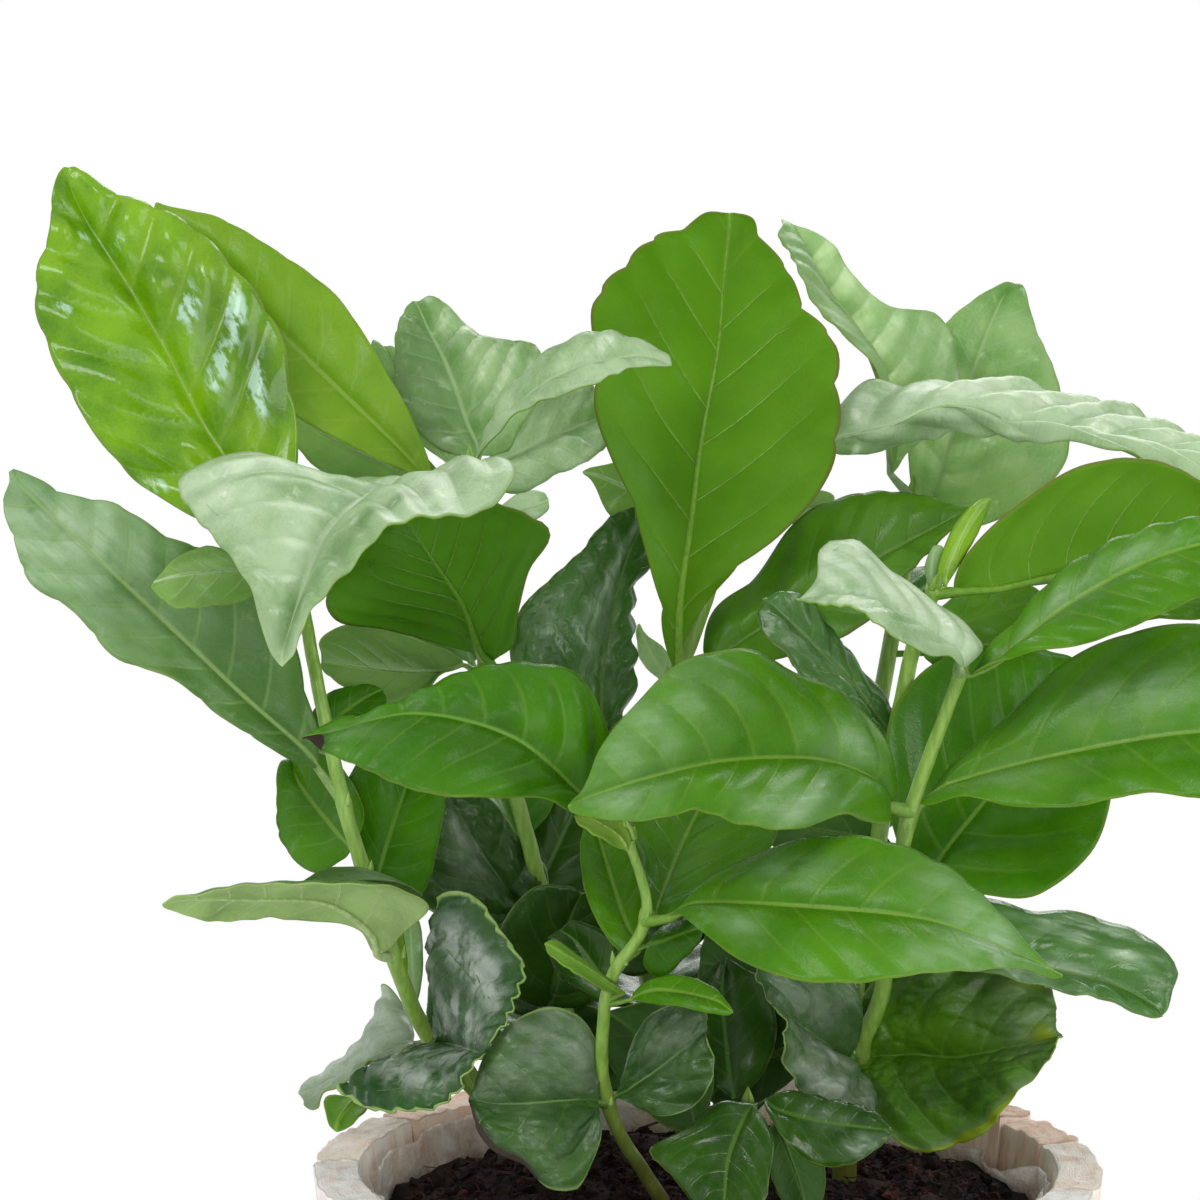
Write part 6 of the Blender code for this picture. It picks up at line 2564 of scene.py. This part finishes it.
        (-0.2, 0.1, 2.2, -0.3, 0, 6.2, -3.1, 0.1, 7.7, -6.4, -3.8, 5.9, -5.5, -2.6, -0.1),
        (-2.1, -1.2, 0.7, -5.3, -3.4, 2.5, -6.3, -4.3, 5.4, -4.8, 0.2, 5.7, 0.1, 1, 4.8),
        pairs=5, quilt=0.5, stalk=False, extra=True,
    ),
    Leaf(
        "inner_back_dark_leaf", "inner", 146, Look.DEEP,
        (-31.2, 34.5, 146.9, 2.4, 0.7, -5.6, 10.4, 2.3, -5.5, 5.9, 1.5, -0.4),
        (0.4, 0.5, -2.4, 0.9, 1.3, -6.5, 4.5, 2.1, -7.2, 8.4, -0.2, -0.9, 4.4, 0.5, 3.3),
        (1.6, 0, 0.3, 4.6, 0.1, 0.7, 5.9, -0.3, -2, 5.3, 2.5, -4.1, 1.5, 1.6, -4.5),
        pairs=5, quilt=0.5, stalk=False, extra=True,
    ),
    Leaf(
        "tall_low_dark_leaf", "tall", 154, Look.DEEP,
        (-20.4, 45.1, 154.7, 4.8, -2.3, 5, 11.3, -4.6, 7.6, 6.5, -1.3, 1.1),
        (0.5, 0, 2.3, 1.4, 0.1, 6.2, 5.4, -0.1, 6.5, 8.3, -4.2, 2.4, 5.3, -2.9, -2.3),
        (1.9, -1.4, -0.7, 5.2, -3.9, -1.2, 7.2, -4.5, 3.7, 6.2, 0.1, 4.9, 2, 1, 5),
        pairs=5, quilt=0.5, stalk=False, extra=True,
    ),
    Leaf(
        "inner_rear_leaf", "inner", 213, Look.FRESH,
        (-45, 27, 217, -4, 10, 7, -9, 21, 7, -4, 13, 0),
        (-11, 2, 4, -11, 12, 8, 0, 19, 3),
        (6, 8, 6, -1, 16, 9, -12, 15, 2),
        pairs=8, extra=True,
    ),
    Leaf(
        "inner_rear_low_leaf", "inner", 176, Look.MID,
        (-36, 35, 180, -4, 9, 7, -7, 21, 7, -4, 12, 0),
        (-10, 2, 3, -11, 12, 8, 1, 18, 3),
        (6, 7, 6, 0, 15, 9, -11, 15, 1),
        pairs=7, extra=True,
    ),
    Leaf(
        "tall_rear_leaf", "tall", 240, Look.MID,
        (4, 50, 245, 0, 9, 7, 2, 19, 6, 2, 12, -1),
        (-9, 6, 4, -6, 13, 8, 8, 14, 1),
        (9, 3, 7, 7, 12, 8, -5, 16, 0),
        pairs=8, extra=True,
    ),
    Leaf(
        "tall_rear_low_leaf", "tall", 172, Look.DARK,
        (-17, 55, 175, -1, 8, 4, -2, 18, 1, -2, 9, -2),
        (-8, 4, 5, -6, 11, 5, 3, 13, -3),
        (8, 6, 3, 3, 13, 2, -8, 11, -1),
        pairs=7, extra=True,
    ),
    Leaf(
        "far_rear_leaf", "far", 214, Look.MID,
        (37.7, 65.9, 218.7, 0.4, 5.5, 4.5, 2.1, 13, 3.2, 1.6, 7.6, -1.5),
        (-6.8, 4.3, 2.4, -3.4, 9, 4.5, 6.6, 9.1, 0.7),
        (6.8, 1.4, 4.9, 5.4, 7.8, 4.8, -2.7, 11, -1.1),
        pairs=6, extra=True,
    ),
    Leaf(
        "far_rear_low_leaf", "far", 176, Look.MID,
        (37, 61, 179, 8, 3, 5, 15, 9, 2, 7, 6, -2),
        (1, 7, 7, 8, 9, 6, 13, 3, -3),
        (9, -5, 2, 13, 2, 2, 8, 11, 1),
        pairs=6, extra=True,
    ),
    Leaf(
        "far_seed_leaf", "far", 146, Look.SEED,
        (27.7, 60.8, 146.3, 3.2, 5.5, 0.9, 6.4, 11.2, 1.8, 3.2, 5.6, 0.9),
        (-5.6, 4.4, 5.1, -2.6, 6.9, 0.6, 2.4, 5.5, 4.5, 4.9, 4.8, -0.3, 6.5, 2.4, -3.5),
        (7.9, -2.2, -2.2, 7.4, 1, 1.4, 4.1, 5.6, -2.4, 1.8, 6.1, 3, -2.4, 6.6, 2.1),
        pairs=4, extra=True,
    ),
    Leaf(
        "tall_seed_leaf", "tall", 142, Look.DEEP,
        (-9.3, 54.1, 142.4, -1.1, 6.2, 1.4, -2.2, 12.6, 2.7, -1.1, 6.2, 1.3),
        (-8.8, 0.2, 0.4, -5.4, 4.4, -2.3, -3.6, 5.3, 3.9, 1.1, 6.6, 1.4, 5.1, 5.9, 0.1),
        (7.6, 2.5, 2.9, 3.7, 4.5, 4.9, 1.3, 7.2, -0.9, -3.5, 5.7, 2.2, -6, 4, -0.9),
        pairs=4, extra=True,
    ),
    Leaf(
        "inner_seed_leaf", "inner", 140, Look.SEED,
        (-29.3, 38.3, 140.3, -4.4, 5.3, 1.3, -8.9, 10.6, 2.4, -4.4, 5.3, 1.2),
        (-7.8, -3.8, -1.1, -6.8, 1.9, -3.1, -6.5, 3, 3.3, -2.7, 6.6, 1.6, 1.4, 7.8, 1.1),
        (4.9, 5.6, 4.3, 0.1, 5.7, 5.4, -2.4, 7.4, -0.6, -6.4, 3.5, 1.7, -7.2, 1.2, -1.9),
        pairs=4, extra=True,
    ),
    Leaf(
        "slim_seed_leaf", "slim", 145, Look.SEED,
        (33, 36.8, 145.3, 6, 2.2, 1.2, 12.1, 4.4, 2.2, 6, 2.2, 1.2),
        (-1.2, 5.6, 6, 2.4, 6.6, 1.5, 5.5, 1.8, 4.7, 6.8, 0.9, -0.3, 6.2, -1.2, -3.7),
        (4.6, -5.7, -3.2, 6.4, -3.7, 0.7, 6.5, 2.4, -2.2, 5.3, 3, 3.4, 2.5, 5.9, 3),
        pairs=4, extra=True,
    ),
    Leaf(
        "slim_low_leaf", "slim", 218, Look.SHADE,
        (41.9, 29.4, 219.1, 5.7, 2.8, 4, 13.6, 4.8, 3.8, 7.2, 1.5, 0.4),
        (0.7, 1.3, 2, 2.7, 3.4, 5, 7.3, 4.3, 3.8, 8.3, 0.6, 0.9, 5.6, -0.3, -2.4),
        (1.1, -0.1, -2, 5.3, 0.2, -2.7, 8.5, 0.9, 1.3, 7.2, 4.2, 4.5, 3.4, 2.9, 5.1),
        pairs=6, quilt=0.5, extra=True,
    ),
    # centre_upper_dark_leaf and inner_gap_leaf: dark filler leaves in the plant's middle; their darkness is
    # partly painted shade
    Leaf(
        "centre_upper_dark_leaf", "slim", 178, Look.DEEP,
        (38, 32, 179, -7, -2, 3, -15, -2, 3, -7, -1, 2),
        (-2, 0, 2, -3, 1, 5, -8, 0, 3, -9, -3, 1, -5, -2, -1),
        (-2, -1, -1, -6, -3, -2, -8, -3, 2, -8, 1, 3, -4, 0, 4),
        pairs=6, quilt=0.5, stalk=False, extra=True,
    ),
    Leaf(
        "inner_gap_leaf", "inner", 165, Look.DEEP,
        (-36.9, 33.7, 167.1, 4.5, 3.6, 4.5, 5.9, 7.1, 11.2, 2.1, 2.3, 6.2),
        (0.2, 1.3, 1.7, 0.5, 3.6, 4.9, 1.8, 4.9, 6.5, 3.5, 2.4, 6.3, 4.5, 0.7, 2.5),
        (2.6, 0.5, -0.4, 6.9, 1.4, -0.5, 6.4, 2.9, 6.4, 1.4, 4.7, 8.6, -3.4, 2.6, 5.8),
        pairs=5, quilt=0.5, stalk=False, extra=True,
    ),
    Leaf(
        "left_back_leaf", "left", 205, Look.MID,
        (-75.1, -2.6, 205.8, 2.9, 1.9, 2.9, 6.8, 3.6, 4.7, 3.9, 1.8, 1.7),
        (-0.3, 1.8, 2.8, 3.9, 4.3, 5.5, 7, 1, 1.9),
        (3, 0.2, -0.4, 6.6, 1, 2.3, 4.6, 4.2, 4.7),
        pairs=5, quilt=0.5, extra=True,
    ),
    # front_gap_leaf: a dark filler leaf in a gap of the plant's middle; its darkness is partly painted shade
    Leaf(
        "front_gap_leaf", "front", 158, Look.DEEP,
        (-18.6, -19.5, 160.8, -1.4, 1.9, 3.5, -4.6, 3.9, 6, -3.3, 1.8, 2.1),
        (-3, 1.5, 0.1, -6.1, 4, 3.3, -2.3, 1.5, 6.1),
        (1.4, 0.7, 3.1, -0.7, 1.7, 7.6, -6.9, 3.9, 2.8),
        pairs=5, quilt=0.5, stalk=False, extra=True,
    ),
)


class Plant:
    """The seedlings: every stem and leaf."""

    THIN_SIDES = 8

    def __init__(self) -> None:
        """Makes the tools that the pieces share."""
        self.tubes = TubeTree()
        self.finisher = LeafFinisher()
        self.stems = {stem.name: stem for stem in STEMS}

    def tube(self, paths: Sequence[Tube], sides: int, material: Material) -> Mesh:
        """Round tubes along paths."""
        return self.tubes.run(path_mesh(paths), Sides=sides, Material=material)

    def build_leaves(self) -> None:
        """Makes every leaf."""
        for number, leaf in enumerate(LEAVES):
            blade = LeafBlade(leaf, self.stems[leaf.stem], seed=17 * number + 5)
            upper, under, veins = self.finisher.materials(leaf.look)
            ribs = self.tube(blade.vein_paths(), self.THIN_SIDES, veins)
            mesh = joined([blade.blade(upper, under), ribs])
            nodes = [] if leaf.extra else [leaf.name]
            add_piece(f"{leaf.name}_blade", mesh, nodes)

    def build_stems(self) -> None:
        """Makes every stem."""
        skin = StemFinish().material()
        for stem in STEMS:
            builder = StemBuilder(stem, LEAVES)
            trunk = self.tube([builder.tube()], StemBuilder.SIDES, skin)
            mesh = joined([trunk, self.tube(builder.scales(), self.THIN_SIDES, skin)])
            add_piece(f"{stem.name}_stem_skin", mesh, [f"{stem.name}_stem"])


# ---------------------------------------------------------------------------------------------
# Studio
# ---------------------------------------------------------------------------------------------


@dataclass(frozen=True)
class SoftBox:
    """A rectangular lamp that looks at the plant, with its sizes in metres."""

    name: str
    place: Colour
    width: float
    depth: float
    power: float
    target: Colour = (0.0, 0.0, 0.19)

    def build(self) -> None:
        """Adds the lamp."""
        lamp = bpy.data.lights.new(self.name, "AREA")
        lamp.shape = "RECTANGLE"
        lamp.size, lamp.size_y, lamp.energy = self.width, self.depth, self.power
        holder = placed(self.name, lamp)
        holder.location = self.place
        aim = np.array(self.target) - np.array(self.place)
        tilt = math.atan2(math.hypot(aim[0], aim[1]), -aim[2])
        holder.rotation_euler = (tilt, 0.0, math.atan2(aim[1], aim[0]) - math.pi / 2)


class Studio:
    """The camera, soft lamps, white surroundings and pale floor, with its sizes in metres."""

    SKY = 0.60
    WHITE = (1.0, 1.0, 1.0)
    FLOOR_COLOUR = (0.86, 0.86, 0.86)
    FLOOR_RADIUS, FLOOR_DROP, FLOOR_SIDES = 0.62, 0.0002, 96
    FADE = (0.20, 0.44)
    SENSOR, LENS = 36.0, 142.14
    CLIP = (0.01, 20.0)
    CAMERA_PLACE = (-0.02042, -0.87797, 0.34995)
    CAMERA_DIP = 7.6
    LAMPS = (
        SoftBox("key_box", (-0.75, -0.95, 1.15), 0.70, 0.50, 11.0),
        SoftBox("front_box", (0.15, -1.30, 0.22), 1.00, 0.50, 5.0),
        SoftBox("fill_box", (1.05, -0.70, 0.80), 0.60, 0.60, 5.0),
        SoftBox("back_box", (0.25, 1.10, 1.05), 0.90, 0.60, 10.0),
    )

    def build(self) -> None:
        """Adds everything."""
        self.build_camera()
        self.build_world()
        self.build_floor()
        for lamp in self.LAMPS:
            lamp.build()
        bpy.context.scene.view_settings.view_transform = "Standard"

    def build_camera(self) -> None:
        """Adds the camera, slightly above the plant and tilted down to it."""
        camera = bpy.data.cameras.new("camera")
        camera.sensor_width, camera.lens = self.SENSOR, self.LENS
        camera.clip_start, camera.clip_end = self.CLIP
        holder = placed("camera", camera)
        holder.location = self.CAMERA_PLACE
        holder.rotation_euler = (math.radians(90 - self.CAMERA_DIP), 0, 0)
        bpy.context.scene.camera = holder

    def build_world(self) -> None:
        """White to the eye and in reflections, and softer as a light."""
        world = bpy.data.worlds.new("studio")
        world.use_nodes = True
        bpy.context.scene.world = world
        g = NodeGraph(world.node_tree)
        g.tree.nodes.clear()
        rays = g.add("ShaderNodeLightPath").outputs
        seen = g.math("MAXIMUM", rays["Is Camera Ray"], rays["Is Glossy Ray"])
        seen = g.math("MAXIMUM", seen, rays["Is Transmission Ray"])
        dim, white = (
            g.add("ShaderNodeBackground", {0: rgba(self.WHITE), 1: strength})
            for strength in (self.SKY, 1.0)
        )
        g.add("ShaderNodeOutputWorld", {0: g.blend(seen, dim, white).outputs[0]})

    def build_floor(self) -> None:
        """A pale floor that keeps the shadow near the pot and fades to white."""
        g = Shader("floor")
        seen = g.add("ShaderNodeLightPath").outputs["Is Camera Ray"]
        reach = g.add("ShaderNodeVectorMath", {0: g.place()}, operation="LENGTH").outputs["Value"]
        pale = g.add("ShaderNodeBsdfDiffuse", {0: rgba(self.FLOOR_COLOUR)})
        glow = g.add("ShaderNodeEmission", {0: rgba(self.WHITE), 1: 1.0})
        paint = g.close(g.blend(g.times(g.slope(reach, *self.FADE), seen), pale, glow))
        turn = np.linspace(0, math.tau, self.FLOOR_SIDES, endpoint=False)
        mesh = bpy.data.meshes.new("floor")
        rim = ring(self.FLOOR_RADIUS, turn, -self.FLOOR_DROP)
        mesh.from_pydata(rim.tolist(), [], [list(range(self.FLOOR_SIDES))])
        mesh.materials.append(paint)
        floor = placed("floor", mesh)


def main() -> None:
    """Builds the pot, the plant and the studio."""
    logging.basicConfig(level=logging.INFO, format="%(message)s")
    pot = Pot()
    pot.build_staves()
    pot.build_liner()
    pot.build_soil()
    pot.dress_board()
    plant = Plant()
    plant.build_stems()
    plant.build_leaves()
    Studio().build()


if __name__ == "__main__":
    main()
